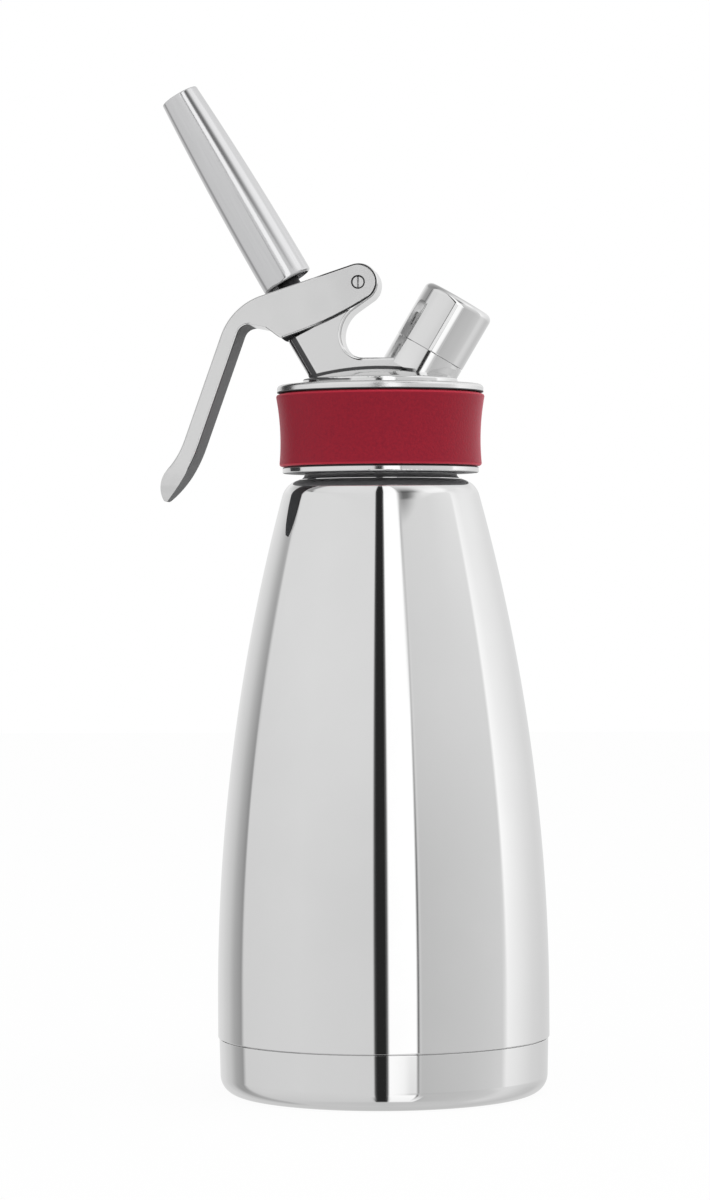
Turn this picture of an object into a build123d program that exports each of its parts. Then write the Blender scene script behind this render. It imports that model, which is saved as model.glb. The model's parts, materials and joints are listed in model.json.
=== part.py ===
from build123d import *
import math
import os

# Cream whipper: a double-walled steel bottle with a screw-on dispensing head.
# Millimetres, +Z up, origin at the centre of the foot.
# The nozzle and the lever point to -X, the gas charger port to +X.

# Fits and gaps
running_fit = 0.05
slip_fit = 0.03
seal_gap = 0.1
joint_gap = 0.3
cheek_gap = 0.2

# Bottle
body_radius = 52.7
straight_height = 29.0
shoulder_radius = 29.9
shoulder_height = 195.0
shoulder_fillet = 7.0
shell_wall = 0.9
vacuum_gap = 5.0
flask_wall = 1.1
flask_corner = 11.0
flask_neck_drop = 5.0
flask_shoulder_drop = 13.0
flask_bend = 5.0
neck_radius = 21.0
neck_height = 16.0
neck_ring_wall = 1.8
neck_ring_height = 14.0
neck_ring_chamfer = 0.6
neck_flare_reach = 3.2
neck_flare_lip = 1.4
neck_flare_height = 1.7
neck_flare_edge = 0.3

# Base
seam_height = 18.0
seam_gap = 0.3
cup_wall = 1.3
cup_lean = 0.4
cup_step = 0.4
cup_floor = 1.2
cup_edge_radius = 6.0
foot_groove_radius = 33.0
foot_groove_depth = 0.5
foot_groove_width = 2.0
spigot_depth = 10.0
spigot_joggle = 2.0
plate_thickness = 1.2
plate_lift = 1.0
seal_button_radius = 5.0
seal_button_thickness = 1.0
seal_stem_radius = 2.4

# Head: skirt, collar groove, deck and turret
head_clearance = 1.9
skirt_clearance = 0.4
ring_inset = 1.05
ring_height = 1.9
ring_edge = 0.4
collar_core_radius = 29.0
collar_height = 23.1
collar_gap = 0.3
collar_top_radius = 33.35
collar_waist_radius = 31.85
collar_foot_radius = 32.25
collar_waist_share = 0.3
collar_edge = 0.8
rim_inset = 0.55
rim_thickness = 2.4
rim_edge = 1.2
turret_radius = 24.6
turret_foot = 1.8
turret_rise = 3.7
turret_foot_edge = 0.8
gasket_thickness = 2.3
gasket_inner_radius = 17.5

# Head: post, hinge ear and throat
slab_width = 17.5
slab_root = 1.0
slab_edge = 1.0
post_back = 9.2
post_corner = 3.5
web_rise = 8.4
throat_x = -4.6
throat_radius = 7.0
ear_proud = 0.25
arm_slope = 35.0
ear_arm_angle = 200.0
arm_reach = 7.5
hinge_x = -6.0
hinge_rise = 32.1
pin_radius = 1.8
pin_recess = 0.3
pin_ring = 0.35
pin_slot_width = 0.6
pin_slot_depth = 0.8

# Dispensing valve, measured along the nozzle's axis
nozzle_tilt = 30.0
nozzle_cross_depth = 17.6
seat_station = 12.0
chamber_length = 8.0
guide_length = 13.0
well_depth = 9.0
pocket_radius = 7.2
chamber_radius = 5.0
stem_radius = 3.5
stem_bore_radius = 2.0
stem_port_radius = 1.4
poppet_radius = 6.0
poppet_thickness = 2.1
valve_seal_thickness = 1.2
valve_seal_inset = 0.2
oring_section = 1.6
oring_station = 16.0
spring_wire = 1.0
spring_turns = 5
spring_length = 15.5
spring_room = 0.6
spring_end_rise = 2.5
spring_end_turn = 0.14
stem_collar_radius = 6.6
stem_collar_thickness = 3.0
nozzle_lift = 6.9
nozzle_length = 69.2
nozzle_base_radius = 8.25
nozzle_tip_radius = 6.2
nozzle_wall = 0.9
nozzle_base_edge = 1.0
nozzle_socket_depth = 13.4
adapter_recess = 1.6
adapter_length = 10.0
tip_oring_section = 1.6

# Charger port, measured along the port's axis
port_tilt = 30.75
port_cross_depth = 16.2
boss_radius = 11.75
boss_station = 30.9
stub_radius = 10.0
stub_length = 14.9
stub_bore_radius = 5.6
stub_bore_floor = 0.9
stub_chamfer = 0.8
piercer_pocket_radius = 4.2
piercer_pocket_depth = 4.8
gas_chamber_radius = 2.5
gas_chamber_depth = 1.4
gas_hole_radius = 1.2
needle_radius = 1.0
needle_length = 6.0
needle_bore_radius = 0.4
needle_point = 2.0
piercer_flange = 3.0
piercer_gasket_thickness = 1.7
check_disc_radius = 3.2
check_disc_thickness = 1.1
check_stem_length = 3.5
cap_overhang = 0.05
cap_height = 19.3
cap_seat_gap = 0.15
cap_roof = 2.2
cap_edge = 2.2
cap_lip = 0.3
liner_thickness = 1.9

# Lever, measured from the hinge
cheek_thickness = 2.05
lever_end_radius = 5.9
lever_slope = 18.2
lever_web = 3.0
lever_bend_reach = 40.55
lever_bend_radius = 20.4
lever_throat_angle = -58.0
lobe_front_reach = 25.5
lobe_reach = 28.9
lobe_drop = 14.9
lobe_width = 3.4
lobe_rise = 4.9
lobe_round = 1.6
roof_drop = 4.0
roof_round = 4.0
handle_lean = 19.7
handle_length = 45.2
handle_thickness = 4.9
flare_start = 10.2
flare_rise = 2.0
flare_length = 21.0
tip_taper_length = 13.0
tip_round = 0.8
fork_reach = 8.0
channel_reach = 31.0
channel_depth = 40.0
lever_slot_room = 0.7
lever_slot_length = 2.1
press_pad_radius = 2.0
lever_edge = 0.6

# Heights and radii that follow from the sizes above
neck_rim = shoulder_height + neck_height
seat_height = neck_rim + gasket_thickness + 2 * seal_gap
head_base = shoulder_height + head_clearance
collar_base = head_base + ring_height
rim_base = collar_base + collar_height + 2 * collar_gap
deck_top = rim_base + rim_thickness
turret_shoulder = deck_top + turret_foot
turret_top = turret_shoulder + turret_rise
neck_ring_radius = neck_radius + neck_ring_wall
skirt_bore = neck_ring_radius + skirt_clearance
ring_radius = collar_foot_radius - ring_inset
rim_radius = collar_top_radius - rim_inset
cap_radius = boss_radius + cap_overhang

# Valve and lever sizes that follow
chamber_top = seat_station + chamber_length
well_floor = chamber_top + guide_length
post_top = well_floor + well_depth
stem_collar_base = well_floor + spring_length
stem_collar_top = stem_collar_base + stem_collar_thickness
nozzle_base = stem_collar_top + nozzle_lift
adapter_base = nozzle_base + adapter_recess
adapter_top = adapter_base + adapter_length
spring_radius = stem_radius + spring_room + spring_wire / 2
well_radius = spring_radius + spring_wire / 2 + spring_room - seal_gap
oring_base = seat_station + oring_station
lever_gap = slab_width + 2 * cheek_gap
lever_width = lever_gap + 2 * cheek_thickness
ear_radius = lever_end_radius + ear_proud

# Frames of the two tilted axes
nozzle_sin = math.sin(math.radians(nozzle_tilt))
nozzle_cos = math.cos(math.radians(nozzle_tilt))
nozzle_cross = deck_top - nozzle_cross_depth
nozzle_axis = Axis((0, 0, nozzle_cross), (-nozzle_sin, 0, nozzle_cos))
nozzle_section = Plane((0, 0, nozzle_cross), x_dir=(nozzle_cos, 0, nozzle_sin), z_dir=(0, -1, 0))
port_sin = math.sin(math.radians(port_tilt))
port_cos = math.cos(math.radians(port_tilt))
port_cross = deck_top - port_cross_depth
port_axis = Axis((0, 0, port_cross), (port_sin, 0, port_cos))
port_section = Plane((0, 0, port_cross), x_dir=(port_cos, 0, -port_sin), z_dir=(0, -1, 0))
hinge_z = deck_top + hinge_rise


def nozzle_point(station, across=0.0):
    """X and Z of a point along the nozzle's axis and across it, towards the hinge."""
    x = -station * nozzle_sin + across * nozzle_cos
    z = nozzle_cross + station * nozzle_cos + across * nozzle_sin
    return (x, z)


def nozzle_plane(station):
    """Plane square to the nozzle's axis."""
    x, z = nozzle_point(station)
    return Plane((x, 0, z), x_dir=(nozzle_cos, 0, nozzle_sin), z_dir=(-nozzle_sin, 0, nozzle_cos))


def port_point(station):
    """X and Z of a point along the port's axis."""
    return (station * port_sin, port_cross + station * port_cos)


def port_x(height):
    """X of the port's axis at a height."""
    return (height - port_cross) * port_sin / port_cos


def port_plane(station):
    """Plane square to the port's axis."""
    x, z = port_point(station)
    return Plane((x, 0, z), x_dir=(port_cos, 0, -port_sin), z_dir=(port_sin, 0, port_cos))


def around_hinge(radius, angle):
    """X and Z of a point on a circle round the hinge."""
    turn = math.radians(angle)
    return (hinge_x + radius * math.cos(turn), hinge_z + radius * math.sin(turn))


def lever_point(along, above):
    """X and Z of a point along the lever's top edge from the hinge, and square to it."""
    slope = math.radians(lever_slope)
    x = hinge_x - along * math.cos(slope) - above * math.sin(slope)
    z = hinge_z - along * math.sin(slope) + above * math.cos(slope)
    return (x, z)


def handle_point(along, out):
    """X and Z of a point down the handle's outer edge from the lever's bend, and square to it."""
    lean = math.radians(handle_lean)
    x, z = lever_point(lever_bend_reach, lever_end_radius)
    return (
        x - along * math.sin(lean) - out * math.cos(lean),
        z - along * math.cos(lean) + out * math.sin(lean),
    )


def flank_point(inset, height):
    """R and Z of the bottle's curved flank, one arc upright at its foot, moved inwards."""
    run = body_radius - shoulder_radius
    rise = shoulder_height - straight_height
    radius = (run**2 + rise**2) / (2 * run)
    reach = math.sqrt((radius - inset) ** 2 - (height - straight_height) ** 2)
    return (body_radius - radius + reach, height)


def corner(sketch, point):
    """Vertex of a sketch nearest to a point of its plane."""
    return sketch.vertices().sort_by_distance(point)[0]


# Bottle: outer shell with its shoulder and the spigot that the base cup covers
cup_inner_radius = body_radius - cup_step - cup_wall
spigot_radius = cup_inner_radius - slip_fit
spigot_bore = spigot_radius - shell_wall
spigot_base = seam_height - spigot_depth
shell_ceiling = shoulder_height - shell_wall
shell_mouth = neck_radius + slip_fit
shell_bore = body_radius - shell_wall
flank_middle = (straight_height + shoulder_height) / 2
shell_corner = flank_point(0, shoulder_height)
ceiling_corner = flank_point(shell_wall, shell_ceiling)

with BuildPart() as outer_shell:
    with BuildSketch(Plane.XZ) as section:
        with BuildLine():
            ThreePointArc((body_radius, straight_height), flank_point(0, flank_middle), shell_corner)
            Polyline(
                shell_corner,
                (shell_mouth, shoulder_height),
                (shell_mouth, shell_ceiling),
                ceiling_corner,
            )
            ThreePointArc(
                ceiling_corner,
                flank_point(shell_wall, flank_middle),
                (shell_bore, straight_height),
            )
            Polyline(
                (shell_bore, straight_height),
                (shell_bore, seam_height + spigot_joggle),
                (spigot_bore, seam_height),
                (spigot_bore, spigot_base),
                (spigot_radius, spigot_base),
                (spigot_radius, seam_height),
                (body_radius, seam_height),
                (body_radius, straight_height),
            )
        make_face()
        fillet(corner(section, shell_corner), shoulder_fillet)
        fillet(corner(section, ceiling_corner), shoulder_fillet - shell_wall)
    revolve(axis=Axis.Z)
outer_shell.part.label = "outer_shell"

# Bottle: inner flask, hung in the shell by its neck
flask_inset = shell_wall + vacuum_gap
flask_bore_inset = flask_inset + flask_wall
plate_base = spigot_base + plate_lift
plate_top = plate_base + plate_thickness
flask_base = plate_top + vacuum_gap
flask_floor = flask_base + flask_wall
flask_shoulder = shoulder_height - flask_shoulder_drop
flask_neck_root = shoulder_height - flask_neck_drop
flask_radius = body_radius - flask_inset
flask_bore = body_radius - flask_bore_inset
neck_bore = neck_radius - flask_wall
outer_bends = [
    (flask_radius, flask_base),
    flank_point(flask_inset, flask_shoulder),
    (neck_radius, flask_neck_root),
]
inner_bends = [
    (flask_bore, flask_floor),
    flank_point(flask_bore_inset, flask_shoulder),
    (neck_bore, flask_neck_root),
]

with BuildPart() as inner_flask:
    with BuildSketch(Plane.XZ) as section:
        with BuildLine():
            Polyline((0, flask_base), outer_bends[0], (flask_radius, straight_height))
            ThreePointArc(
                (flask_radius, straight_height),
                flank_point(flask_inset, flank_middle),
                outer_bends[1],
            )
            Polyline(
                outer_bends[1],
                outer_bends[2],
                (neck_radius, neck_rim),
                (neck_bore, neck_rim),
                inner_bends[2],
                inner_bends[1],
            )
            ThreePointArc(
                inner_bends[1],
                flank_point(flask_bore_inset, flank_middle),
                (flask_bore, straight_height),
            )
            Polyline(
                (flask_bore, straight_height), inner_bends[0], (0, flask_floor), (0, flask_base)
            )
        make_face()
        fillet(corner(section, outer_bends[0]), flask_corner)
        fillet(corner(section, inner_bends[0]), flask_corner - flask_wall)
        for bend in outer_bends[1:] + inner_bends[1:]:
            fillet(corner(section, bend), flask_bend)
    revolve(axis=Axis.Z)
inner_flask.part.label = "inner_flask"

# Bottle: threaded ring round the neck, standing on the shoulder with a hollow flare
neck_ring_top = shoulder_height + neck_ring_height
flare_top = shoulder_height + neck_flare_height
flare_foot = (neck_ring_radius + neck_flare_reach, shoulder_height + neck_flare_edge)
flare_lip = (neck_ring_radius + neck_flare_lip, flare_top)

with BuildPart() as neck_ring:
    with BuildSketch(Plane.XZ) as section:
        with BuildLine():
            Polyline(
                flare_lip,
                (neck_ring_radius, flare_top),
                (neck_ring_radius, neck_ring_top),
                (neck_radius + slip_fit, neck_ring_top),
                (neck_radius + slip_fit, shoulder_height),
                (neck_ring_radius + neck_flare_reach, shoulder_height),
                flare_foot,
            )
            TangentArc(flare_foot, flare_lip, tangent=(-1, 0))
        make_face()
        chamfer(corner(section, (neck_ring_radius, neck_ring_top)), neck_ring_chamfer)
    revolve(axis=Axis.Z)
neck_ring.part.label = "neck_ring"

# Bottle: plate that closes the jacket, and the button in its evacuation hole
with BuildPart() as vacuum_plate:
    with BuildSketch(Plane.XY.offset(plate_base)):
        Circle(spigot_bore - slip_fit)
        Circle(seal_stem_radius + slip_fit, mode=Mode.SUBTRACT)
    extrude(amount=plate_thickness)
vacuum_plate.part.label = "vacuum_plate"

with BuildPart() as vacuum_seal:
    with BuildSketch(Plane.XY.offset(plate_base)):
        Circle(seal_stem_radius)
    extrude(amount=plate_thickness)
    with BuildSketch(Plane.XY.offset(plate_base - seal_button_thickness)):
        Circle(seal_button_radius)
    extrude(amount=seal_button_thickness)
vacuum_seal.part.label = "vacuum_seal"

# Bottle: pressed base cup, flat below with one shallow ring groove
cup_foot_radius = body_radius - cup_step - cup_lean
cup_rim_radius = body_radius - cup_step
cup_top = seam_height - seam_gap

with BuildPart() as base_cup:
    with BuildSketch(Plane.XZ) as section:
        Polygon(
            (0, 0),
            (cup_foot_radius, 0),
            (cup_rim_radius, cup_top),
            (cup_inner_radius, cup_top),
            (cup_inner_radius, cup_floor),
            (0, cup_floor),
            align=None,
        )
        fillet(corner(section, (cup_foot_radius, 0)), cup_edge_radius)
        fillet(corner(section, (cup_inner_radius, cup_floor)), cup_edge_radius - cup_wall)
    revolve(axis=Axis.Z)
    with BuildSketch(Plane.XY):
        Circle(foot_groove_radius + foot_groove_width / 2)
        Circle(foot_groove_radius - foot_groove_width / 2, mode=Mode.SUBTRACT)
    extrude(amount=foot_groove_depth, mode=Mode.SUBTRACT)
base_cup.part.label = "base_cup"

# Head: the casting, with skirt, deck, turret, post, hinge ear and charger port
web_top = deck_top + web_rise
throat_z = web_top + throat_radius
slab_base = deck_top - slab_root
post_foot_station = (slab_base - nozzle_cross + post_back * nozzle_sin) / nozzle_cos
ear_throat = around_hinge(ear_radius, arm_slope - 90)
ear_far = around_hinge(ear_radius, (arm_slope - 90 + ear_arm_angle) / 2)
ear_arm = around_hinge(ear_radius, ear_arm_angle)
throat_side = (throat_x - throat_radius, throat_z)
arm_sin = math.sin(math.radians(arm_slope))
arm_cos = math.cos(math.radians(arm_slope))
arm_run = (throat_side[0] - ear_throat[0]) * arm_sin + (ear_throat[1] - throat_z) * arm_cos
arm_radius = arm_run / (1 - arm_sin)
arm_end = (
    throat_side[0] + arm_radius * (1 - arm_sin),
    throat_z + arm_radius * arm_cos,
)
slab_end = (port_x(slab_base), slab_base)
stub_end = boss_station + stub_length
bore_floor = boss_station - stub_bore_floor
piercer_floor = bore_floor - piercer_pocket_depth
gas_floor = piercer_floor - gas_chamber_depth
gas_x, gas_z = port_point((piercer_floor + gas_floor) / 2)

with BuildPart() as head_body:
    with BuildSketch(Plane.XZ):
        with BuildLine():
            Polyline(slab_end, (port_x(web_top), web_top), (throat_x, web_top))
            TangentArc((throat_x, web_top), throat_side, tangent=(-1, 0))
            TangentArc(throat_side, arm_end, tangent=(0, 1))
            Line(arm_end, ear_throat)
            ThreePointArc(ear_throat, ear_far, ear_arm)
            Polyline(
                ear_arm,
                nozzle_point(post_top, arm_reach),
                nozzle_point(post_top, -post_back),
                nozzle_point(post_foot_station, -post_back),
                slab_end,
            )
        make_face()
    extrude(amount=slab_width / 2, both=True)
    post_edges = head_body.edges().filter_by(nozzle_axis)
    fillet(post_edges, post_corner)
    slab_faces = head_body.faces().filter_by(Axis.Y)
    fillet(slab_faces.edges(), slab_edge)
    with BuildSketch(Plane.XZ) as section:
        with BuildLine():
            Polyline(
                (0, turret_top),
                (0, seat_height),
                (skirt_bore, seat_height),
                (skirt_bore, head_base),
                (ring_radius, head_base),
                (ring_radius, collar_base),
                (collar_core_radius, collar_base),
                (collar_core_radius, rim_base),
                (rim_radius, rim_base),
                (rim_radius, deck_top),
                (turret_radius, deck_top),
                (turret_radius, turret_shoulder),
            )
            TangentArc(
                (0, turret_top), (turret_radius, turret_shoulder), tangent=(1, 0)
            )
        make_face()
        fillet(corner(section, (rim_radius, deck_top)), rim_edge)
        fillet(corner(section, (ring_radius, head_base)), ring_edge)
        fillet(corner(section, (ring_radius, collar_base)), ring_edge)
        fillet(corner(section, (turret_radius, turret_shoulder)), turret_foot_edge)
    revolve(axis=Axis.Z)
    with BuildSketch(port_plane(gas_floor - gas_chamber_depth)):
        Circle(boss_radius)
    extrude(amount=boss_station - gas_floor + gas_chamber_depth)
    with BuildSketch(port_section) as section:
        Polygon(
            (0, gas_floor),
            (stub_radius, gas_floor),
            (stub_radius, stub_end),
            (0, stub_end),
            align=None,
        )
        chamfer(corner(section, (stub_radius, stub_end)), stub_chamfer)
    revolve(axis=port_axis)
    with BuildSketch(port_section):
        Polygon(
            (0, gas_floor),
            (gas_chamber_radius, gas_floor),
            (gas_chamber_radius, piercer_floor),
            (piercer_pocket_radius, piercer_floor),
            (piercer_pocket_radius, bore_floor),
            (stub_bore_radius, bore_floor),
            (stub_bore_radius, stub_end),
            (0, stub_end),
            align=None,
        )
    revolve(axis=port_axis, mode=Mode.SUBTRACT)
    with BuildSketch(Plane.XY.offset(seat_height)):
        with Locations((gas_x, 0)):
            Circle(gas_hole_radius)
    extrude(amount=gas_z - seat_height, mode=Mode.SUBTRACT)
    with BuildSketch(nozzle_section):
        Polygon(
            (0, 0),
            (pocket_radius, 0),
            (pocket_radius, seat_station),
            (chamber_radius, seat_station),
            (chamber_radius, chamber_top),
            (stem_radius + running_fit, chamber_top),
            (stem_radius + running_fit, oring_base),
            (stem_radius + running_fit + oring_section, oring_base),
            (stem_radius + running_fit + oring_section, oring_base + oring_section),
            (stem_radius + running_fit, oring_base + oring_section),
            (stem_radius + running_fit, well_floor),
            (well_radius, well_floor),
            (well_radius, post_top),
            (0, post_top),
            align=None,
        )
    revolve(axis=nozzle_axis, mode=Mode.SUBTRACT)
    with BuildSketch(Plane.XZ):
        with Locations((hinge_x, hinge_z)):
            Circle(pin_radius + slip_fit)
    extrude(amount=lever_width, both=True, mode=Mode.SUBTRACT)
head_body.part.label = "head_body"

# Head: red silicone grip in the groove, waisted
collar_foot = collar_base + collar_gap
collar_crown = collar_foot + collar_height
collar_waist = collar_foot + collar_waist_share * collar_height
collar_bore = collar_core_radius + slip_fit

with BuildPart() as grip_collar:
    with BuildSketch(Plane.XZ) as section:
        with BuildLine():
            ThreePointArc(
                (collar_foot_radius, collar_foot),
                (collar_waist_radius, collar_waist),
                (collar_top_radius, collar_crown),
            )
            Polyline(
                (collar_top_radius, collar_crown),
                (collar_bore, collar_crown),
                (collar_bore, collar_foot),
                (collar_foot_radius, collar_foot),
            )
        make_face()
        fillet(corner(section, (collar_foot_radius, collar_foot)), collar_edge)
        fillet(corner(section, (collar_top_radius, collar_crown)), collar_edge)
    revolve(axis=Axis.Z)
grip_collar.part.label = "grip_collar"

# Head: gasket between the skirt's seat and the bottle's rim
with BuildPart() as head_gasket:
    with BuildSketch(Plane.XY.offset(neck_rim + seal_gap)):
        Circle(neck_ring_radius)
        Circle(gasket_inner_radius, mode=Mode.SUBTRACT)
    extrude(amount=gasket_thickness)
head_gasket.part.label = "head_gasket"

# Head: hinge pin with a driver slot at its near end
pin_end = lever_width / 2 - pin_recess

with BuildPart() as hinge_pin:
    with BuildSketch(Plane.XZ):
        with Locations((hinge_x, hinge_z)):
            Circle(pin_radius)
    extrude(amount=pin_end, both=True)
    with BuildSketch(Plane.XZ.offset(pin_end)):
        with Locations((hinge_x, hinge_z)):
            Rectangle(pin_slot_width, 2 * ear_radius)
    extrude(amount=-pin_slot_depth, mode=Mode.SUBTRACT)
hinge_pin.part.label = "hinge_pin"

# Head: gland ring in the valve bore's groove
oring_radius = stem_radius + running_fit + oring_section / 2

with BuildPart() as stem_oring:
    with BuildSketch(nozzle_section):
        with Locations((oring_radius, oring_base + oring_section / 2)):
            Circle(oring_section / 2 - running_fit)
    revolve(axis=nozzle_axis)
stem_oring.part.label = "stem_oring"

# Head: hollow piercing needle, its slotted nut and the washer that seals the charger
needle_base = piercer_floor + piercer_flange
needle_end = boss_station + needle_length
washer_base = bore_floor + slip_fit

with BuildPart() as piercing_pin:
    with BuildSketch(port_section):
        Polygon(
            (needle_bore_radius, piercer_floor),
            (piercer_pocket_radius - slip_fit, piercer_floor),
            (piercer_pocket_radius - slip_fit, needle_base),
            (needle_radius, needle_base),
            (needle_radius, needle_end - needle_point),
            (needle_bore_radius, needle_end),
            align=None,
        )
    revolve(axis=port_axis)
piercing_pin.part.label = "piercing_pin"

with BuildPart() as piercer_nut:
    with BuildSketch(port_plane(needle_base)):
        Circle(piercer_pocket_radius - slip_fit)
        Circle(needle_radius + joint_gap, mode=Mode.SUBTRACT)
    extrude(amount=bore_floor - needle_base)
    with BuildSketch(port_plane(bore_floor)):
        Rectangle(pin_slot_width, 2 * stub_bore_radius)
    extrude(amount=-pin_slot_depth, mode=Mode.SUBTRACT)
piercer_nut.part.label = "piercer_nut"

with BuildPart() as piercer_gasket:
    with BuildSketch(port_plane(washer_base)):
        Circle(stub_bore_radius - slip_fit)
        Circle(needle_radius + joint_gap, mode=Mode.SUBTRACT)
    extrude(amount=piercer_gasket_thickness)
piercer_gasket.part.label = "piercer_gasket"

# Head: non-return plug at the lower end of the gas passage
with BuildPart() as check_valve:
    with BuildSketch(Plane.XY.offset(seat_height)):
        with Locations((gas_x, 0)):
            Circle(gas_hole_radius - slip_fit)
    extrude(amount=check_stem_length)
    with BuildSketch(Plane.XY.offset(seat_height)):
        with Locations((gas_x, 0)):
            Circle(check_disc_radius)
    extrude(amount=-check_disc_thickness)
check_valve.part.label = "check_valve"

# Valve: hollow stem with its poppet below and side ports above the poppet
seal_top = seat_station - seal_gap
poppet_top = seal_top - valve_seal_thickness
poppet_base = poppet_top - poppet_thickness
stem_floor = poppet_top + valve_seal_thickness
port_station = seat_station + chamber_length / 2

with BuildPart() as valve_stem:
    with BuildSketch(nozzle_section):
        Polygon(
            (0, poppet_base),
            (poppet_radius, poppet_base),
            (poppet_radius, poppet_top),
            (stem_radius, poppet_top),
            (stem_radius, adapter_top),
            (stem_bore_radius, adapter_top),
            (stem_bore_radius, stem_floor),
            (0, stem_floor),
            align=None,
        )
    revolve(axis=nozzle_axis)
    with BuildSketch(nozzle_section):
        with Locations((0, port_station)):
            Circle(stem_port_radius)
    extrude(amount=2 * stem_radius, both=True, mode=Mode.SUBTRACT)
valve_stem.part.label = "valve_stem"

with BuildPart() as valve_seal:
    with BuildSketch(nozzle_plane(poppet_top)):
        Circle(poppet_radius - valve_seal_inset)
        Circle(stem_radius + slip_fit, mode=Mode.SUBTRACT)
    extrude(amount=valve_seal_thickness)
valve_seal.part.label = "valve_seal"

# Valve: collar that the lever presses down and the spring lifts
with BuildPart() as stem_collar:
    with BuildSketch(nozzle_plane(stem_collar_base)):
        Circle(stem_collar_radius)
        Circle(stem_radius + slip_fit, mode=Mode.SUBTRACT)
    extrude(amount=stem_collar_thickness)
    chamfer(stem_collar.edges().filter_by(GeomType.CIRCLE).sort_by(SortBy.RADIUS)[-2:], joint_gap)
stem_collar.part.label = "stem_collar"


# Valve: return spring, its turns joined by pairs of arcs that share a tangent
def spring_station(turn):
    """Point and tangent of the spring's helix after some turns from its lower end."""
    first = well_floor + spring_end_rise
    climb = (spring_length - 2 * spring_end_rise) / spring_turns
    angle = 2 * math.pi * turn
    place = nozzle_plane(first + climb * turn)
    point = place.from_local_coords(
        (spring_radius * math.cos(angle), spring_radius * math.sin(angle), 0)
    )
    run = 2 * math.pi * spring_radius
    slope = Vector(-run * math.sin(angle), run * math.cos(angle), climb).normalized()
    tangent = place.x_dir * slope.X + place.y_dir * slope.Y + place.z_dir * slope.Z
    return point, tangent


def arc_pair_join(start, end):
    """Joint of two arcs that leave start and reach end along their tangents."""
    chord = end[0] - start[0]
    pull = chord.dot(start[1] + end[1])
    spread = 2 * (1 - start[1].dot(end[1]))
    reach = (-pull + math.sqrt(pull**2 + spread * chord.dot(chord))) / spread
    first = start[0] + start[1] * reach
    second = end[0] - end[1] * reach
    return (first + second) * 0.5, (second - first).normalized()


def spring_end(station, turn):
    """Point on the spring's cylinder at an end, with the axis as its tangent."""
    place = nozzle_plane(station)
    angle = 2 * math.pi * turn
    point = place.from_local_coords(
        (spring_radius * math.cos(angle), spring_radius * math.sin(angle), 0)
    )
    return point, place.z_dir


quarter = 0.25
spring_foot = spring_end(well_floor, -spring_end_turn)
spring_bend = spring_end(well_floor + spring_wire, -spring_end_turn)
spring_crest = spring_end(stem_collar_base - spring_wire, spring_turns + spring_end_turn)
spring_head = spring_end(stem_collar_base, spring_turns + spring_end_turn)
helix = [spring_station(quarter * step) for step in range(int(spring_turns / quarter) + 1)]
stations = [spring_bend] + helix + [spring_crest]

with BuildPart() as valve_spring:
    with BuildLine() as wire:
        Line(spring_foot[0], spring_bend[0])
        for start, end in zip(stations, stations[1:]):
            joint, joint_tangent = arc_pair_join(start, end)
            TangentArc(start[0], joint, tangent=start[1])
            TangentArc(joint, end[0], tangent=joint_tangent)
        Line(spring_crest[0], spring_head[0])
    with BuildSketch(nozzle_plane(well_floor)):
        with Locations(
            (
                spring_radius * math.cos(2 * math.pi * spring_end_turn),
                -spring_radius * math.sin(2 * math.pi * spring_end_turn),
            )
        ):
            Circle(spring_wire / 2)
    sweep(path=wire.wire())
valve_spring.part.label = "valve_spring"

wire_line = wire.wire()
sample_step = spring_wire / 4
sample_count = int(wire_line.length / sample_step)
samples = [wire_line.position_at(step / sample_count) for step in range(sample_count + 1)]
skip = int(3 * spring_wire / sample_step)
least = min(
    (samples[far] - samples[near]).length
    for near in range(len(samples))
    for far in range(near + skip, len(samples))
)
print("spring: least gap between turns", round(least - spring_wire, 3), "mm")
wire_volume = wire_line.length * math.pi * spring_wire**2 / 4
print("spring: volume", round(valve_spring.part.volume, 3), "of", round(wire_volume, 3))

# Valve: adapter on the stem's end, its seal, and the decorator nozzle
socket_radius = nozzle_base_radius - nozzle_wall - nozzle_base_edge / 2
adapter_radius = socket_radius - running_fit
nozzle_end = nozzle_base + nozzle_length
socket_end = nozzle_base + nozzle_socket_depth
tip_bore = nozzle_tip_radius - nozzle_wall
throat_bore = socket_radius - tip_oring_section / 2

with BuildPart() as tip_adapter:
    with BuildSketch(nozzle_plane(adapter_base)):
        Circle(adapter_radius)
        Circle(stem_radius + slip_fit, mode=Mode.SUBTRACT)
    extrude(amount=adapter_length)
tip_adapter.part.label = "tip_adapter"

tip_oring_radius = adapter_radius - tip_oring_section / 2
tip_oring_base = adapter_top + seal_gap

with BuildPart() as tip_oring:
    with BuildSketch(nozzle_section):
        with Locations((tip_oring_radius, tip_oring_base + tip_oring_section / 2)):
            Circle(tip_oring_section / 2)
    revolve(axis=nozzle_axis)
tip_oring.part.label = "tip_oring"

with BuildPart() as nozzle_tip:
    with BuildSketch(nozzle_section) as section:
        with BuildLine():
            Polyline(
                (nozzle_tip_radius, nozzle_end),
                (tip_bore, nozzle_end),
                (throat_bore, socket_end),
                (socket_radius, socket_end),
                (socket_radius, nozzle_base),
                (nozzle_base_radius, nozzle_base),
            )
            TangentArc(
                (nozzle_base_radius, nozzle_base), (nozzle_tip_radius, nozzle_end), tangent=(0, 1)
            )
        make_face()
        fillet(corner(section, (nozzle_base_radius, nozzle_base)), nozzle_base_edge)
    revolve(axis=nozzle_axis)
nozzle_tip.part.label = "nozzle_tip"

# Port: cap on the charger thread, and the liner under its roof
cap_base = boss_station + cap_seat_gap
cap_end = cap_base + cap_height
cap_ceiling = cap_end - cap_roof
cap_bore = stub_radius + joint_gap
liner_base = cap_ceiling - liner_thickness

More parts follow.
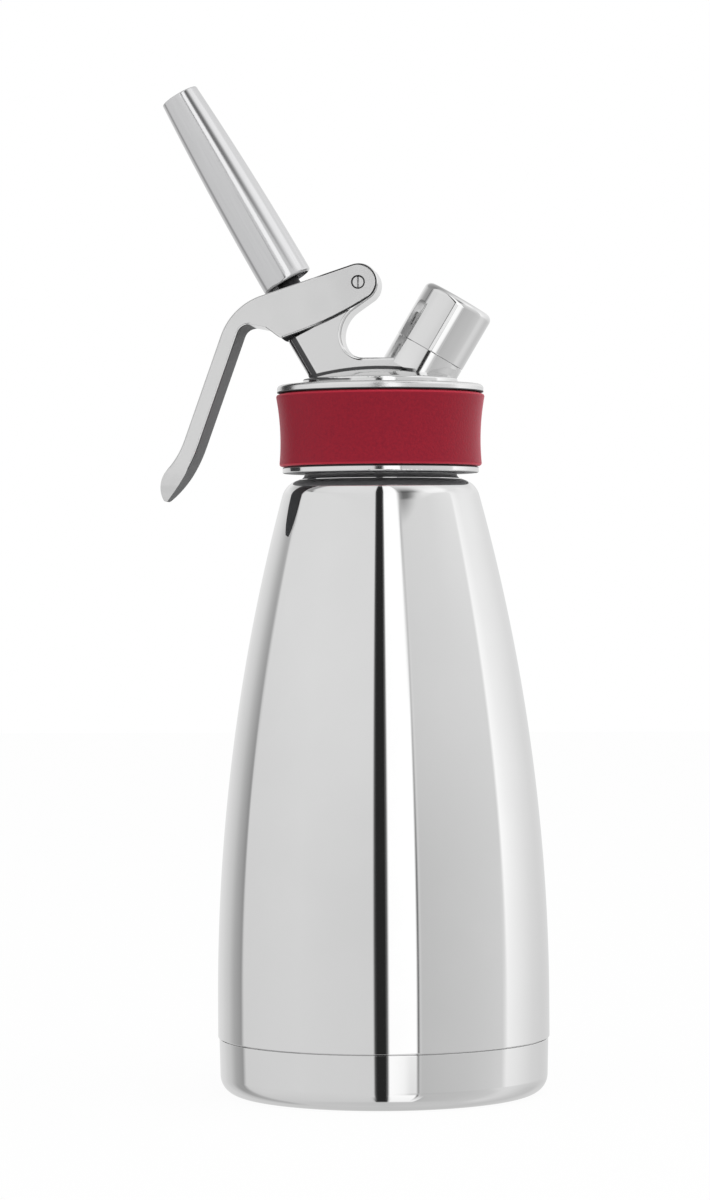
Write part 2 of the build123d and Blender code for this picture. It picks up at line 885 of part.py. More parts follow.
with BuildPart() as port_cap:
    with BuildSketch(port_section) as section:
        Polygon(
            (cap_bore, cap_base),
            (cap_radius, cap_base),
            (cap_radius, cap_end),
            (0, cap_end),
            (0, cap_ceiling),
            (cap_bore, cap_ceiling),
            align=None,
        )
        fillet(corner(section, (cap_radius, cap_end)), cap_edge)
        chamfer(corner(section, (cap_radius, cap_base)), cap_lip)
    revolve(axis=port_axis)
port_cap.part.label = "port_cap"

with BuildPart() as cap_liner:
    with BuildSketch(port_plane(liner_base)):
        Circle(cap_bore - seal_gap)
    extrude(amount=liner_thickness - seal_gap)
cap_liner.part.label = "cap_liner"

# Lever: side outline, channel for the post, slot for the stem, rounded handle end
lever_top = lever_point(0, lever_end_radius)
lever_bend = lever_point(lever_bend_reach, lever_end_radius)
handle_foot = handle_point(handle_length, 0)
flare_knee = handle_point(handle_length + flare_start, flare_rise)
handle_end = handle_point(handle_length + flare_length, 0)
handle_inside = handle_point(handle_length, -handle_thickness)
down_handle = (handle_foot[0] - lever_bend[0], handle_foot[1] - lever_bend[1])
lever_throat = around_hinge(lever_end_radius, lever_throat_angle)
lever_far = around_hinge(lever_end_radius, 0)
throat_run = math.radians(lever_throat_angle - 90)
lobe_level = lever_end_radius - lobe_drop
lobe_front = lever_point(lobe_front_reach, lobe_level)
lobe_bottom = lever_point(lobe_reach, lobe_level)
lobe_back = lever_point(lobe_reach + lobe_width, lobe_level + lobe_rise)
roof_turn = handle_point(roof_drop, -handle_thickness)
channel_ceiling = lever_end_radius - lever_web
lever_ceiling = hinge_z + 2 * lever_end_radius
lever_half = lever_width / 2
tip_taper = handle_end[1] + tip_taper_length

with BuildPart() as lever:
    with BuildSketch(Plane.XZ) as outline:
        with BuildLine():
            FilletPolyline(lever_top, lever_bend, handle_foot, radius=lever_bend_radius)
            flare = TangentArc(handle_foot, flare_knee, tangent=down_handle)
            TangentArc(flare_knee, handle_end, tangent=flare % 1)
            TangentArc(
                handle_end, handle_inside, tangent=down_handle, tangent_from_first=False
            )
            FilletPolyline(
                handle_inside,
                roof_turn,
                lobe_back,
                lobe_bottom,
                lobe_front,
                radius=[roof_round, lobe_round, lobe_round],
            )
            TangentArc(
                lever_throat,
                lobe_front,
                tangent=(math.cos(throat_run), math.sin(throat_run)),
            )
            ThreePointArc(lever_throat, lever_far, lever_top)
        make_face()
        fillet(corner(outline, handle_end), tip_round)
    extrude(amount=lever_half, both=True)
    fillet(lever.faces().filter_by(Axis.Y).edges(), lever_edge)
    with BuildSketch(Plane.YZ):
        with BuildLine():
            Polyline(
                (-lever_half, tip_taper),
                (-lever_half, lever_ceiling),
                (lever_half, lever_ceiling),
                (lever_half, tip_taper),
            )
            EllipticalCenterArc(
                (0, tip_taper), lever_half, tip_taper_length, start_angle=180, arc_size=180
            )
        make_face()
    extrude(amount=3 * lever_bend_reach, both=True, mode=Mode.INTERSECT)
    with BuildSketch(Plane.XZ):
        Polygon(
            lever_point(-channel_depth, lever_ceiling - hinge_z),
            lever_point(fork_reach, lever_ceiling - hinge_z),
            lever_point(fork_reach, channel_ceiling),
            lever_point(channel_reach, channel_ceiling),
            lever_point(channel_reach, -channel_depth),
            lever_point(-channel_depth, -channel_depth),
            align=None,
        )
    extrude(amount=lever_gap / 2, both=True, mode=Mode.SUBTRACT)
    with BuildSketch(Plane.XZ):
        with Locations(nozzle_point(stem_collar_top + joint_gap + press_pad_radius)):
            Circle(press_pad_radius)
    extrude(amount=lever_gap / 2, both=True)
    with BuildSketch(nozzle_plane(stem_collar_top)):
        with Locations((lever_slot_length / 2, 0)):
            SlotCenterToCenter(lever_slot_length, 2 * (stem_radius + lever_slot_room))
    extrude(amount=nozzle_lift, mode=Mode.SUBTRACT)
    with BuildSketch(Plane.XZ):
        with Locations((hinge_x, hinge_z)):
            Circle(pin_radius + running_fit)
    extrude(amount=lever_width, both=True, mode=Mode.SUBTRACT)
    cheek_rims = lever.edges().filter_by(GeomType.CIRCLE).sort_by(Axis.Y)
    chamfer([cheek_rims[0], cheek_rims[-1]], pin_ring)
lever.part.label = "lever"

pieces = [
    outer_shell,
    inner_flask,
    neck_ring,
    vacuum_plate,
    vacuum_seal,
    base_cup,
    head_body,
    grip_collar,
    head_gasket,
    hinge_pin,
    stem_oring,
    valve_spring,
    piercing_pin,
    piercer_nut,
    piercer_gasket,
    check_valve,
    valve_stem,
    valve_seal,
    stem_collar,
    tip_adapter,
    tip_oring,
    nozzle_tip,
    port_cap,
    cap_liner,
    lever,
]
os.makedirs("parts", exist_ok=True)
for piece in pieces:
    export_step(piece.part, f"parts/{piece.part.label}.step")
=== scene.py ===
import json
import math

import bmesh
import bpy
import numpy as np
from mathutils import Matrix, Vector


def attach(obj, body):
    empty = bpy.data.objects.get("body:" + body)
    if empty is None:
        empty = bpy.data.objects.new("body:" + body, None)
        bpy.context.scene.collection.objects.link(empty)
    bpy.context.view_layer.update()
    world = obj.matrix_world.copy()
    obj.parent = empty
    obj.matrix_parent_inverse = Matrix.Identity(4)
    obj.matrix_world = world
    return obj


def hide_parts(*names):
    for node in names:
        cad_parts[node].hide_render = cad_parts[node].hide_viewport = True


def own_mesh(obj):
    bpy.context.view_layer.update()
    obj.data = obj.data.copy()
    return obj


# Cream whipper: the looks of its bottle, head, lever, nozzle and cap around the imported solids.
# Sizes are in millimetres and become metres where a mesh, a lamp or the camera is made.

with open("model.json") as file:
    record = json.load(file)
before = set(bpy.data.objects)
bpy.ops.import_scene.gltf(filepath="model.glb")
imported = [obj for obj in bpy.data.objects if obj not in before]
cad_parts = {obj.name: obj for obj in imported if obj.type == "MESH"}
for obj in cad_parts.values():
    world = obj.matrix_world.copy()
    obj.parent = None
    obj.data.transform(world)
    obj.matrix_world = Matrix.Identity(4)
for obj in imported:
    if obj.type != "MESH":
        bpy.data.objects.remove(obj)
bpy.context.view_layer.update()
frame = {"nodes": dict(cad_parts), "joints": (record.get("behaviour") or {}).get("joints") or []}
joints = {joint["name"]: joint for joint in frame["joints"]}
scene = bpy.context.scene
MM = 0.001

# Fineness of the surfaces: steps round an axis, along arcs, round a wire, in a helix's turn, along threads
TURN_STEPS = 256
ADAPTER_TURN_STEPS = 128
ARC_STEPS = 8
FINE_ARC_STEPS = 12
FLARE_STEPS = 16
LONG_ARC_STEPS = 40
FLANK_STEPS = 72
WIRE_SIDES = 16
SPRING_TURN_STEPS = 48
RIDGE_TURN_STEPS = 96
NECK_THREAD_ROWS = 96
ADAPTER_THREAD_ROWS = 110

# Meshes: reach of flat shading beside an arc, distance of points that are welded, and angle of a sharp edge
HOLD = 0.12
WELD = 0.0001
SHARP_ANGLE = math.radians(32)

# Bottle and foot
BODY_RADIUS = 52.7
STRAIGHT_HEIGHT = 29.0
SHOULDER_RADIUS = 29.9
SHOULDER_HEIGHT = 195.0
SHOULDER_FILLET = 7.0
SHELL_WALL = 0.9
SEAM_HEIGHT = 18.0
SEAM_GAP = 0.3
SEAM_EDGE = 0.22
CUP_STEP = 0.4
CUP_LEAN = 0.4
CUP_WALL = 1.3
CUP_FLOOR = 1.2
CUP_EDGE = 6.0
FOOT_GROOVE_RADIUS = 33.0
FOOT_GROOVE_WIDTH = 2.0
FOOT_GROOVE_DEPTH = 0.5
FOOT_GROOVE_EDGE = 0.2
SPIGOT_DEPTH = 10.0
SPIGOT_JOGGLE = 2.0
NECK_RADIUS = 21.0
NECK_RING_WALL = 1.8
NECK_RING_HEIGHT = 14.0
NECK_FLARE_REACH = 3.2
NECK_FLARE_LIP = 1.4
NECK_FLARE_HEIGHT = 1.7
NECK_FLARE_SINK = 0.25
SLIP_FIT = 0.03

# Grip collar
COLLAR_FOOT = 199.1
COLLAR_HEIGHT = 23.1
COLLAR_BORE = 29.03
COLLAR_FOOT_RADIUS = 32.25
COLLAR_WAIST_RADIUS = 31.85
COLLAR_WAIST_SHARE = 0.3
COLLAR_TOP_RADIUS = 33.35
COLLAR_EDGE = 0.8
COLLAR_TOP_GAP = 0.3
COLLAR_NECK = 1.8

# Nozzle, stem and spring, with stations along the nozzle's axis
WELL_FLOOR = 33.0
SPRING_LENGTH = 15.5
SPRING_RADIUS = 4.6
SPRING_WIRE = 1.0
SPRING_END_GAP = 0.06
SPRING_END_PITCH = 1.05
SPRING_TURNS = 5
NOZZLE_BASE = 58.4
NOZZLE_LENGTH = 69.2
NOZZLE_BASE_RADIUS = 8.25
NOZZLE_TIP_RADIUS = 6.2
NOZZLE_WALL = 0.9
NOZZLE_SOCKET_RADIUS = 6.85
NOZZLE_SOCKET_DEPTH = 13.4
NOZZLE_THROAT_RADIUS = 6.05
NOZZLE_BASE_EDGE = 1.0
NOZZLE_SOCKET_EDGE = 0.3
NOZZLE_TIP_EDGE = 0.35
ADAPTER_BASE = 60.0
ADAPTER_LENGTH = 10.0
ADAPTER_RADIUS = 6.8
STEM_RADIUS = 3.5

# Charger port and cap, with stations along the port's axis
CAP_BASE = 31.05
CAP_HEIGHT = 19.3
CAP_RADIUS = 11.8
CAP_BORE = 10.3
CAP_BORE_EDGE = 0.5
CAP_ROOF = 2.2
CAP_EDGE = 2.2
CAP_LIP = 0.3
STUB_RADIUS = 10.0
STUB_THREAD_START = 33.0
STUB_THREAD_END = 44.5

# Threads: rise of one turn, and depth
NECK_LEAD = 4.0
TIP_LEAD = 1.5
CAP_LEAD = 2.0
NECK_THREAD_DEPTH = 0.8
TIP_THREAD_DEPTH = 0.45
CAP_THREAD_DEPTH = 0.2

# Shapes of the threads: a cut one's steepness and the share of a lead in which it runs out, then, for the
# port's ridge, half its foot over the lead, its crest over its foot, and the angle in which it runs out
THREAD_STEEPNESS = 0.9
THREAD_RUN_OUT = 0.5
RIDGE_HALF_SHARE = 0.36
RIDGE_CREST_SHARE = 0.2
RIDGE_RUN_OUT = 0.6


# Surfaces


def new_object(name, data):
    """New object in the scene that holds a mesh, a lamp or a camera."""
    made = bpy.data.objects.new(name, data)
    scene.collection.objects.link(made)
    return made


def rounded(corners, steps=ARC_STEPS):
    """Outline through corners (x, y, radius): each corner is an arc that touches both of its sides.

    The arc runs from one touching point to the other about the middle that lies on the corner's bisector.
    A straight side keeps a point close to each of its ends, so that its shading stays flat up to the arc.
    """
    pieces = []
    for index, (x, y, radius) in enumerate(corners):
        here = np.array((x, y), float)
        if radius == 0:
            pieces.append(here[None])
            continue
        before = np.array(corners[index - 1][:2], float) - here
        after = np.array(corners[(index + 1) % len(corners)][:2], float) - here
        before /= np.linalg.norm(before)
        after /= np.linalg.norm(after)
        half = math.acos(np.clip(before @ after, -1, 1)) / 2
        reach = radius / math.tan(half)
        bisector = (before + after) / np.linalg.norm(before + after)
        middle = here + bisector * radius / math.sin(half)
        turn = math.pi - 2 * half
        share = np.linspace(0, 1, steps + 1)[:, None]
        start = here + before * reach - middle
        end = here + after * reach - middle
        arc = middle + (start * np.sin((1 - share) * turn) + end * np.sin(share * turn)) / math.sin(turn)
        pieces += [arc[:1] + before * HOLD, arc, arc[-1:] + after * HOLD]
    return np.concatenate(pieces)


def arc_points(middle, radius, first, last, steps=ARC_STEPS):
    """Points of a circle about a middle, from one angle to another."""
    angle = np.linspace(first, last, steps + 1)
    return np.column_stack((middle[0] + radius * np.cos(angle), middle[1] + radius * np.sin(angle)))


def skin(name, grid, loop_rows=True):
    """Mesh of a grid of points (rows, columns, 3): each face joins four neighbours.

    Each row closes on itself. The last row joins the first one, or else rows that are drawn together in one
    point close the ends. The faces are turned outwards, which is where the volume that they enclose comes
    out positive.
    """
    rows, columns = grid.shape[:2]
    index = np.arange(rows * columns).reshape(rows, columns)
    if loop_rows:
        index = np.vstack((index, index[:1]))
    index = np.hstack((index, index[:, :1]))
    corners = (index[:-1, :-1], index[:-1, 1:], index[1:, 1:], index[1:, :-1])
    faces = np.stack(corners, axis=-1).reshape(-1, 4)
    points = grid.reshape(-1, 3) * MM
    a, b, c, d = (points[faces[:, corner]] for corner in range(4))
    volume = (a * (np.cross(b, c) + np.cross(c, d))).sum()
    if volume < 0:
        faces = faces[:, ::-1]
    mesh = bpy.data.meshes.new(name)
    mesh.from_pydata(points.tolist(), [], faces.tolist())
    shell = bmesh.new()
    shell.from_mesh(mesh)
    bmesh.ops.remove_doubles(shell, verts=shell.verts, dist=WELD * MM)
    shell.to_mesh(mesh)
    shell.free()
    mesh.polygons.foreach_set("use_smooth", np.ones(len(mesh.polygons), bool))
    mesh.set_sharp_from_angle(angle=SHARP_ANGLE)
    mesh.update()
    return new_object(name, mesh)


def upright_axis():
    """Foot, direction and two sides of the bottle's own axis."""
    return np.zeros(3), np.array((0.0, 0.0, 1.0)), np.array((1.0, 0.0, 0.0)), np.array((0.0, 1.0, 0.0))


def joint_axis(name):
    """Foot, direction and two sides of the axis that a joint turns about."""
    along = np.array(joints[name]["axis"], float)
    along /= np.linalg.norm(along)
    beside = np.array((along[2], 0.0, -along[0]))
    return np.array(joints[name]["pos_m"], float) / MM, along, beside, np.cross(along, beside)


def spokes(axis, angle):
    """Unit directions square to an axis: an angle's cosine along one side and its sine along the other."""
    beside, across = axis[2:]
    return np.cos(angle)[:, None] * beside + np.sin(angle)[:, None] * across


def turned(outline, axis):
    """Grid of an outline (radius, height) turned round an axis: a circle of each radius at each height."""
    foot, along = axis[:2]
    angle = np.linspace(0, math.tau, TURN_STEPS, endpoint=False)
    radius, height = outline.T[..., None, None]
    return foot + height * along + radius * spokes(axis, angle)


def threaded(radius, ends, rows, corners, lead, depth, axis, steps=TURN_STEPS):
    """Grid of a turned wall with a thread from end to end, closed through plain corners (radius, height).

    The wall's radius drops by the thread's depth times a valley, which is a rounded wave of the height over
    one lead less the angle over a full turn, so the ridge climbs one lead a turn. It fades out at both ends.
    """
    foot, along = axis[:2]
    angle = np.linspace(0, math.tau, steps, endpoint=False)
    wall = np.column_stack((np.full(rows, radius), np.linspace(*ends, rows)))
    outline = np.concatenate((wall, corners))
    cut = np.arange(len(outline))[:, None] < rows
    height = outline[:, 1:]
    phase = height / lead - angle / math.tau
    valley = np.clip(0.5 - THREAD_STEEPNESS * np.cos(math.tau * phase), 0, 1)
    fade = np.clip((height - ends[0]) / lead, 0, 1) * np.clip((ends[1] - height) / lead, 0, 1)
    reach = outline[:, :1] - cut * depth * valley * np.minimum(1, fade / THREAD_RUN_OUT)
    return foot + height[..., None] * along + reach[..., None] * spokes(axis, angle)


def wire(path, radius):
    """Grid of a round wire along a path: a circle in the plane square to the path at each of its points.

    The two ends are drawn together into their middles, which closes the wire.
    """
    ahead = np.gradient(path, axis=0)
    ahead /= np.linalg.norm(ahead, axis=1)[:, None]
    guide = np.array((0.0, 1.0, 0.0))
    beside = np.cross(ahead, guide)
    beside /= np.linalg.norm(beside, axis=1)[:, None]
    across = np.cross(ahead, beside)
    angle = np.linspace(0, math.tau, WIRE_SIDES, endpoint=False)
    circle = np.cos(angle)[:, None] * beside[:, None] + np.sin(angle)[:, None] * across[:, None]
    tube = path[:, None] + radius * circle
    first = np.repeat(path[:1, None], WIRE_SIDES, axis=1)
    last = np.repeat(path[-1:, None], WIRE_SIDES, axis=1)
    return np.concatenate((first, tube, last))


# Pieces


def bottle_jacket():
    """Drawn jacket: a straight foot, a flank on one large arc, a small arc into the level shoulder."""
    run = BODY_RADIUS - SHOULDER_RADIUS
    rise = SHOULDER_HEIGHT - STRAIGHT_HEIGHT
    flank = (run**2 + rise**2) / (2 * run)
    middle = (BODY_RADIUS - flank, STRAIGHT_HEIGHT)

    def flank_wall(inset):
        """Flank and shoulder at a depth under the outside."""
        level = SHOULDER_HEIGHT - inset
        small = SHOULDER_FILLET - inset
        reach = flank - inset - small
        height = level - small - middle[1]
        bend = (middle[0] + math.sqrt(reach**2 - height**2), level - small)
        slope = math.asin(height / reach)
        long_arc = arc_points(middle, flank - inset, 0, slope, FLANK_STEPS)
        return np.concatenate((long_arc, arc_points(bend, small, slope, math.pi / 2, FINE_ARC_STEPS)[1:]))

    mouth = NECK_RADIUS + SLIP_FIT
    spigot = BODY_RADIUS - CUP_STEP - CUP_WALL - SLIP_FIT
    outside = flank_wall(0)
    inside = flank_wall(SHELL_WALL)[::-1]
    foot = rounded([
        (BODY_RADIUS - SHELL_WALL, SEAM_HEIGHT + SPIGOT_JOGGLE, 0),
        (spigot - SHELL_WALL, SEAM_HEIGHT, 0),
        (spigot - SHELL_WALL, SEAM_HEIGHT - SPIGOT_DEPTH, 0),
        (spigot, SEAM_HEIGHT - SPIGOT_DEPTH, 0),
        (spigot, SEAM_HEIGHT, 0),
        (BODY_RADIUS, SEAM_HEIGHT, SEAM_EDGE),
        (BODY_RADIUS, STRAIGHT_HEIGHT - HOLD, 0),
    ])
    lips = np.array([(mouth, SHOULDER_HEIGHT), (mouth, SHOULDER_HEIGHT - SHELL_WALL)])
    outline = np.concatenate((outside, lips, inside, foot))
    return skin("bottle_jacket", turned(outline, upright_axis()))


def foot_cup():
    """Pressed cup under the seam: a large bottom edge, a slight lean and one ring groove in the foot."""
    foot_radius = BODY_RADIUS - CUP_STEP - CUP_LEAN
    rim_radius = BODY_RADIUS - CUP_STEP
    top = SEAM_HEIGHT - SEAM_GAP
    inner = rim_radius - CUP_WALL
    near = FOOT_GROOVE_RADIUS - FOOT_GROOVE_WIDTH / 2
    far = FOOT_GROOVE_RADIUS + FOOT_GROOVE_WIDTH / 2
    outline = rounded([
        (0, CUP_FLOOR, 0),
        (0, 0, 0),
        (near, 0, FOOT_GROOVE_EDGE),
        (near, FOOT_GROOVE_DEPTH, FOOT_GROOVE_EDGE),
        (far, FOOT_GROOVE_DEPTH, FOOT_GROOVE_EDGE),
        (far, 0, FOOT_GROOVE_EDGE),
        (foot_radius, 0, CUP_EDGE),
        (rim_radius, top, SEAM_EDGE),
        (inner, top, SEAM_EDGE),
        (inner, CUP_FLOOR, CUP_EDGE - CUP_WALL),
    ], FINE_ARC_STEPS)
    return skin("foot_cup", turned(outline, upright_axis()), loop_rows=False)


def collar_grip():
    """Waisted silicone ring: its outside is one hollow arc through foot, waist and top, with small edges.

    The outer part of its top lies a little lower than the inner part.
    """
    top = COLLAR_FOOT + COLLAR_HEIGHT
    waist = COLLAR_FOOT + COLLAR_WAIST_SHARE * COLLAR_HEIGHT
    knots = np.array(
        [(COLLAR_FOOT_RADIUS, COLLAR_FOOT), (COLLAR_WAIST_RADIUS, waist), (COLLAR_TOP_RADIUS, top)]
    )
    square = (knots**2).sum(axis=1)
    middle = np.linalg.solve(2 * (knots[1:] - knots[:1]), square[1:] - square[0])
    hollow = np.linalg.norm(knots[0] - middle)

    def bend(level, turn):
        """Middle of the small arc between the hollow arc and a level end, and the hollow's angle there."""
        height = level + turn * COLLAR_EDGE
        reach = hollow + COLLAR_EDGE
        radius = middle[0] - math.sqrt(reach**2 - (height - middle[1]) ** 2)
        return (radius, height), math.atan2(height - middle[1], radius - middle[0]) % math.tau

    low, low_angle = bend(COLLAR_FOOT, 1)
    high, high_angle = bend(top - COLLAR_TOP_GAP, -1)
    neck = COLLAR_TOP_RADIUS - COLLAR_NECK
    outline = np.concatenate((
        [(neck, top - COLLAR_TOP_GAP), (neck, top), (COLLAR_BORE, top), (COLLAR_BORE, COLLAR_FOOT)],
        arc_points(low, COLLAR_EDGE, -math.pi / 2, low_angle - math.pi),
        arc_points(middle, hollow, low_angle, high_angle, LONG_ARC_STEPS)[1:-1],
        arc_points(high, COLLAR_EDGE, high_angle - math.pi, math.pi / 2),
    ))
    return skin("collar_grip", turned(outline, upright_axis()))


def threaded_neck():
    """Ring round the neck: a wall with the coarse thread that holds the head, and a plain bore."""
    ends = (SHOULDER_HEIGHT + NECK_FLARE_HEIGHT, SHOULDER_HEIGHT + NECK_RING_HEIGHT)
    inner = NECK_RADIUS + SLIP_FIT
    outer = NECK_RADIUS + NECK_RING_WALL
    corners = [(inner, ends[1]), (inner, SHOULDER_HEIGHT), (outer, SHOULDER_HEIGHT)]
    grid = threaded(outer, ends, NECK_THREAD_ROWS, corners, NECK_LEAD, NECK_THREAD_DEPTH, upright_axis())
    return skin("threaded_neck", grid)


def neck_flare():
    """Hollow flare at the neck's root: an arc that starts level on the shoulder and ends upright."""
    inner = NECK_RADIUS + NECK_RING_WALL
    run = NECK_FLARE_REACH - NECK_FLARE_LIP
    middle = (inner + NECK_FLARE_REACH, SHOULDER_HEIGHT + NECK_FLARE_HEIGHT)
    arc = arc_points((0, 0), 1, -math.pi / 2, -math.pi, FLARE_STEPS) * (run, NECK_FLARE_HEIGHT) + middle
    sunk = SHOULDER_HEIGHT - NECK_FLARE_SINK
    outline = np.concatenate((arc, [(inner, middle[1]), (inner, sunk), (middle[0], sunk)]))
    return skin("neck_flare", turned(outline, upright_axis()))


def nozzle_tube():
    """Decorator tube: a long plain bore, rounded rims, and a side that bends in on one large arc.

    The arc starts in line with the axis at the base, so its middle is level with the base.
    """
    end = NOZZLE_BASE + NOZZLE_LENGTH
    socket_end = NOZZLE_BASE + NOZZLE_SOCKET_DEPTH
    taper = NOZZLE_BASE_RADIUS - NOZZLE_TIP_RADIUS
    bend = (taper**2 + NOZZLE_LENGTH**2) / (2 * taper)
    middle = (NOZZLE_BASE_RADIUS - bend, NOZZLE_BASE)
    first = NOZZLE_BASE_EDGE / bend
    last = math.asin((NOZZLE_LENGTH - NOZZLE_TIP_EDGE) / bend)
    side = arc_points(middle, bend, first, last, LONG_ARC_STEPS)
    rim = arc_points(side[-1] - (NOZZLE_TIP_EDGE, 0), NOZZLE_TIP_EDGE, last, math.pi / 2)
    lip_middle = (NOZZLE_BASE_RADIUS - NOZZLE_BASE_EDGE, NOZZLE_BASE + NOZZLE_BASE_EDGE)
    lip = arc_points(lip_middle, NOZZLE_BASE_EDGE, -math.pi / 2, 0)
    bore = rounded([
        (NOZZLE_TIP_RADIUS - NOZZLE_WALL, end, NOZZLE_TIP_EDGE / 2),
        (NOZZLE_THROAT_RADIUS, socket_end, 0),
        (NOZZLE_SOCKET_RADIUS, socket_end, 0),
        (NOZZLE_SOCKET_RADIUS, NOZZLE_BASE, NOZZLE_SOCKET_EDGE),
    ])
    outline = np.concatenate((lip[:-1], side, rim[1:], bore))
    return skin("nozzle_tube", turned(outline, joint_axis("tip_turn")))


def threaded_adapter():
    """Adapter on the stem's end: a wall with the fine thread that holds the nozzle, and a plain bore."""
    ends = (ADAPTER_BASE, ADAPTER_BASE + ADAPTER_LENGTH)
    inner = STEM_RADIUS + SLIP_FIT
    corners = [(inner, ends[1]), (inner, ends[0])]
    grid = threaded(ADAPTER_RADIUS, ends, ADAPTER_THREAD_ROWS, corners, TIP_LEAD, TIP_THREAD_DEPTH,
                    joint_axis("tip_turn"), ADAPTER_TURN_STEPS)
    return skin("threaded_adapter", grid)


def return_spring():
    """Coil round the stem: a helix whose last stretches run in to close at both ends.

    The angle grows evenly along the wire. The height climbs by little more than the wire's thickness in the
    first and last turns, and evenly over the rest of the length between them.
    """
    axis = joint_axis("tip_turn")
    foot, along = axis[:2]
    share = np.linspace(0, 1, SPRING_TURN_STEPS * (SPRING_TURNS + 2))
    turn = share * (SPRING_TURNS + 2) - 1
    climb = np.clip(turn / SPRING_TURNS, 0, 1)
    rest = SPRING_WIRE / 2 + SPRING_END_GAP
    flat = SPRING_WIRE * SPRING_END_PITCH
    ends = np.clip(turn + 1, 0, 1) * flat + np.clip(turn - SPRING_TURNS, 0, 1) * flat
    height = WELL_FLOOR + rest + ends + climb * (SPRING_LENGTH - 2 * rest - 2 * flat)
    path = foot + height[:, None] * along + SPRING_RADIUS * spokes(axis, math.tau * turn)
    return skin("return_spring", wire(path, SPRING_WIRE / 2), loop_rows=False)


def charger_cap():
    """Plain cap on the charger port: a rounded crown edge and a small lip at its mouth."""
    end = CAP_BASE + CAP_HEIGHT
    outline = rounded([
        (0, end - CAP_ROOF, 0),
        (CAP_BORE, end - CAP_ROOF, CAP_BORE_EDGE),
        (CAP_BORE, CAP_BASE, CAP_LIP),
        (CAP_RADIUS, CAP_BASE, CAP_LIP),
        (CAP_RADIUS, end, CAP_EDGE),
        (0, end, 0),
    ], FINE_ARC_STEPS)
    return skin("charger_cap", turned(outline, joint_axis("cap_turn")), loop_rows=False)


def port_thread():
    """Ridge of the port's thread: a blunt wedge carried up a helix on the stub, its ends drawn to a point."""
    axis = joint_axis("cap_turn")
    foot, along = axis[:2]
    turns = (STUB_THREAD_END - STUB_THREAD_START) / CAP_LEAD
    angle = np.linspace(0, math.tau * turns, int(RIDGE_TURN_STEPS * turns))
    height = STUB_THREAD_START + CAP_LEAD * angle / math.tau
    fade = np.minimum(1, np.minimum(angle, angle[::-1]) / RIDGE_RUN_OUT)
    half = RIDGE_HALF_SHARE * CAP_LEAD
    crest = RIDGE_CREST_SHARE * half
    root = STUB_RADIUS - CAP_THREAD_DEPTH
    top = STUB_RADIUS + CAP_THREAD_DEPTH
    section = np.array([(root, -half), (top, -crest), (top, crest), (root, half)])
    radius = root + (section[:, 0] - root) * fade[:, None]
    lift = height[:, None] + section[:, 1] * fade[:, None]
    grid = foot + lift[..., None] * along + radius[..., None] * spokes(axis, angle)[:, None]
    return skin("port_thread", grid, loop_rows=False)


# Materials

# Range of the noise that a colour or a roughness follows, and the noise's detail
NOISE_RANGE = (0.3, 0.7)
NOISE_DETAIL = 3.0

# Grains, specks and streaks in millimetres, drawn coarser than the real ones so that they show in the render
CASTING_GRAIN = 0.5
BLAST_GRAIN = 0.6
SILICONE_GRAIN = 0.35
COLLAR_SPECKLE = 0.8
STREAK_WIDTH = 0.5
STREAK_STRETCH = 40

# Open end of a mask, farther off than the object reaches, and the metal share where shade is painted
FAR = 1000.0
SHADE_METAL = 0.25


def linear(colour):
    """Linear colour with full alpha of an sRGB hex value such as "8d2a30"."""
    parts = np.array([int(colour[start:start + 2], 16) for start in (0, 2, 4)]) / 255
    low, high = parts / 12.92, ((parts + 0.055) / 1.055) ** 2.4
    return (*np.where(parts <= 0.04045, low, high).tolist(), 1.0)


def add(tree, kind, settings=None, inputs=None):
    """Add a node, set its properties, and set or link its inputs by name or number."""
    made = tree.nodes.new(kind)
    for name, value in (settings or {}).items():
        setattr(made, name, value)
    for name, value in (inputs or {}).items():
        if isinstance(value, bpy.types.NodeSocket):
            tree.links.new(value, made.inputs[name])
        else:
            made.inputs[name].default_value = value
    return made


def empty_tree(owner):
    """Node tree of a material or world, without the nodes that it comes with."""
    owner.use_nodes = True
    owner.node_tree.nodes.clear()
    return owner.node_tree


def start(name, inputs):
    """New material with one Principled shader, and its tree, shader and Object coordinates in millimetres."""
    material = bpy.data.materials.new(name)
    tree = empty_tree(material)
    shader = add(tree, "ShaderNodeBsdfPrincipled", inputs=inputs)
    add(tree, "ShaderNodeOutputMaterial", inputs={"Surface": shader.outputs["BSDF"]})
    metres = add(tree, "ShaderNodeTexCoord").outputs["Object"]
    place = add(tree, "ShaderNodeVectorMath", {"operation": "SCALE"}, {0: metres, "Scale": 1 / MM}).outputs[0]
    return material, tree, shader, place


def mottled(tree, place, size, tones):
    """Colour that drifts between two hex tones in patches of a size in millimetres, and the drift itself."""
    drift = add(tree, "ShaderNodeTexNoise",
                inputs={"Vector": place, "Scale": 1 / size, "Detail": NOISE_DETAIL}).outputs["Fac"]
    ramp = add(tree, "ShaderNodeValToRGB", inputs={"Fac": drift})
    for element, position, tone in zip(ramp.color_ramp.elements, NOISE_RANGE, tones):
        element.position = position
        element.color = linear(tone)
    return ramp.outputs["Color"], drift


def between(tree, drift, low, high):
    """Value that goes from low to high as a drift runs through the noise's range."""
    first, last = NOISE_RANGE
    made = add(tree, "ShaderNodeMapRange",
               inputs={"Value": drift, "From Min": first, "From Max": last, "To Min": low, "To Max": high})
    return made.outputs["Result"]


def combined(tree, operation, *values):
    """Masks joined two by two by an operation: their product, their difference or the largest of them."""
    joined = values[0]
    for value in values[1:]:
        joined = add(tree, "ShaderNodeMath", {"operation": operation}, {0: joined, 1: value}).outputs[0]
    return joined


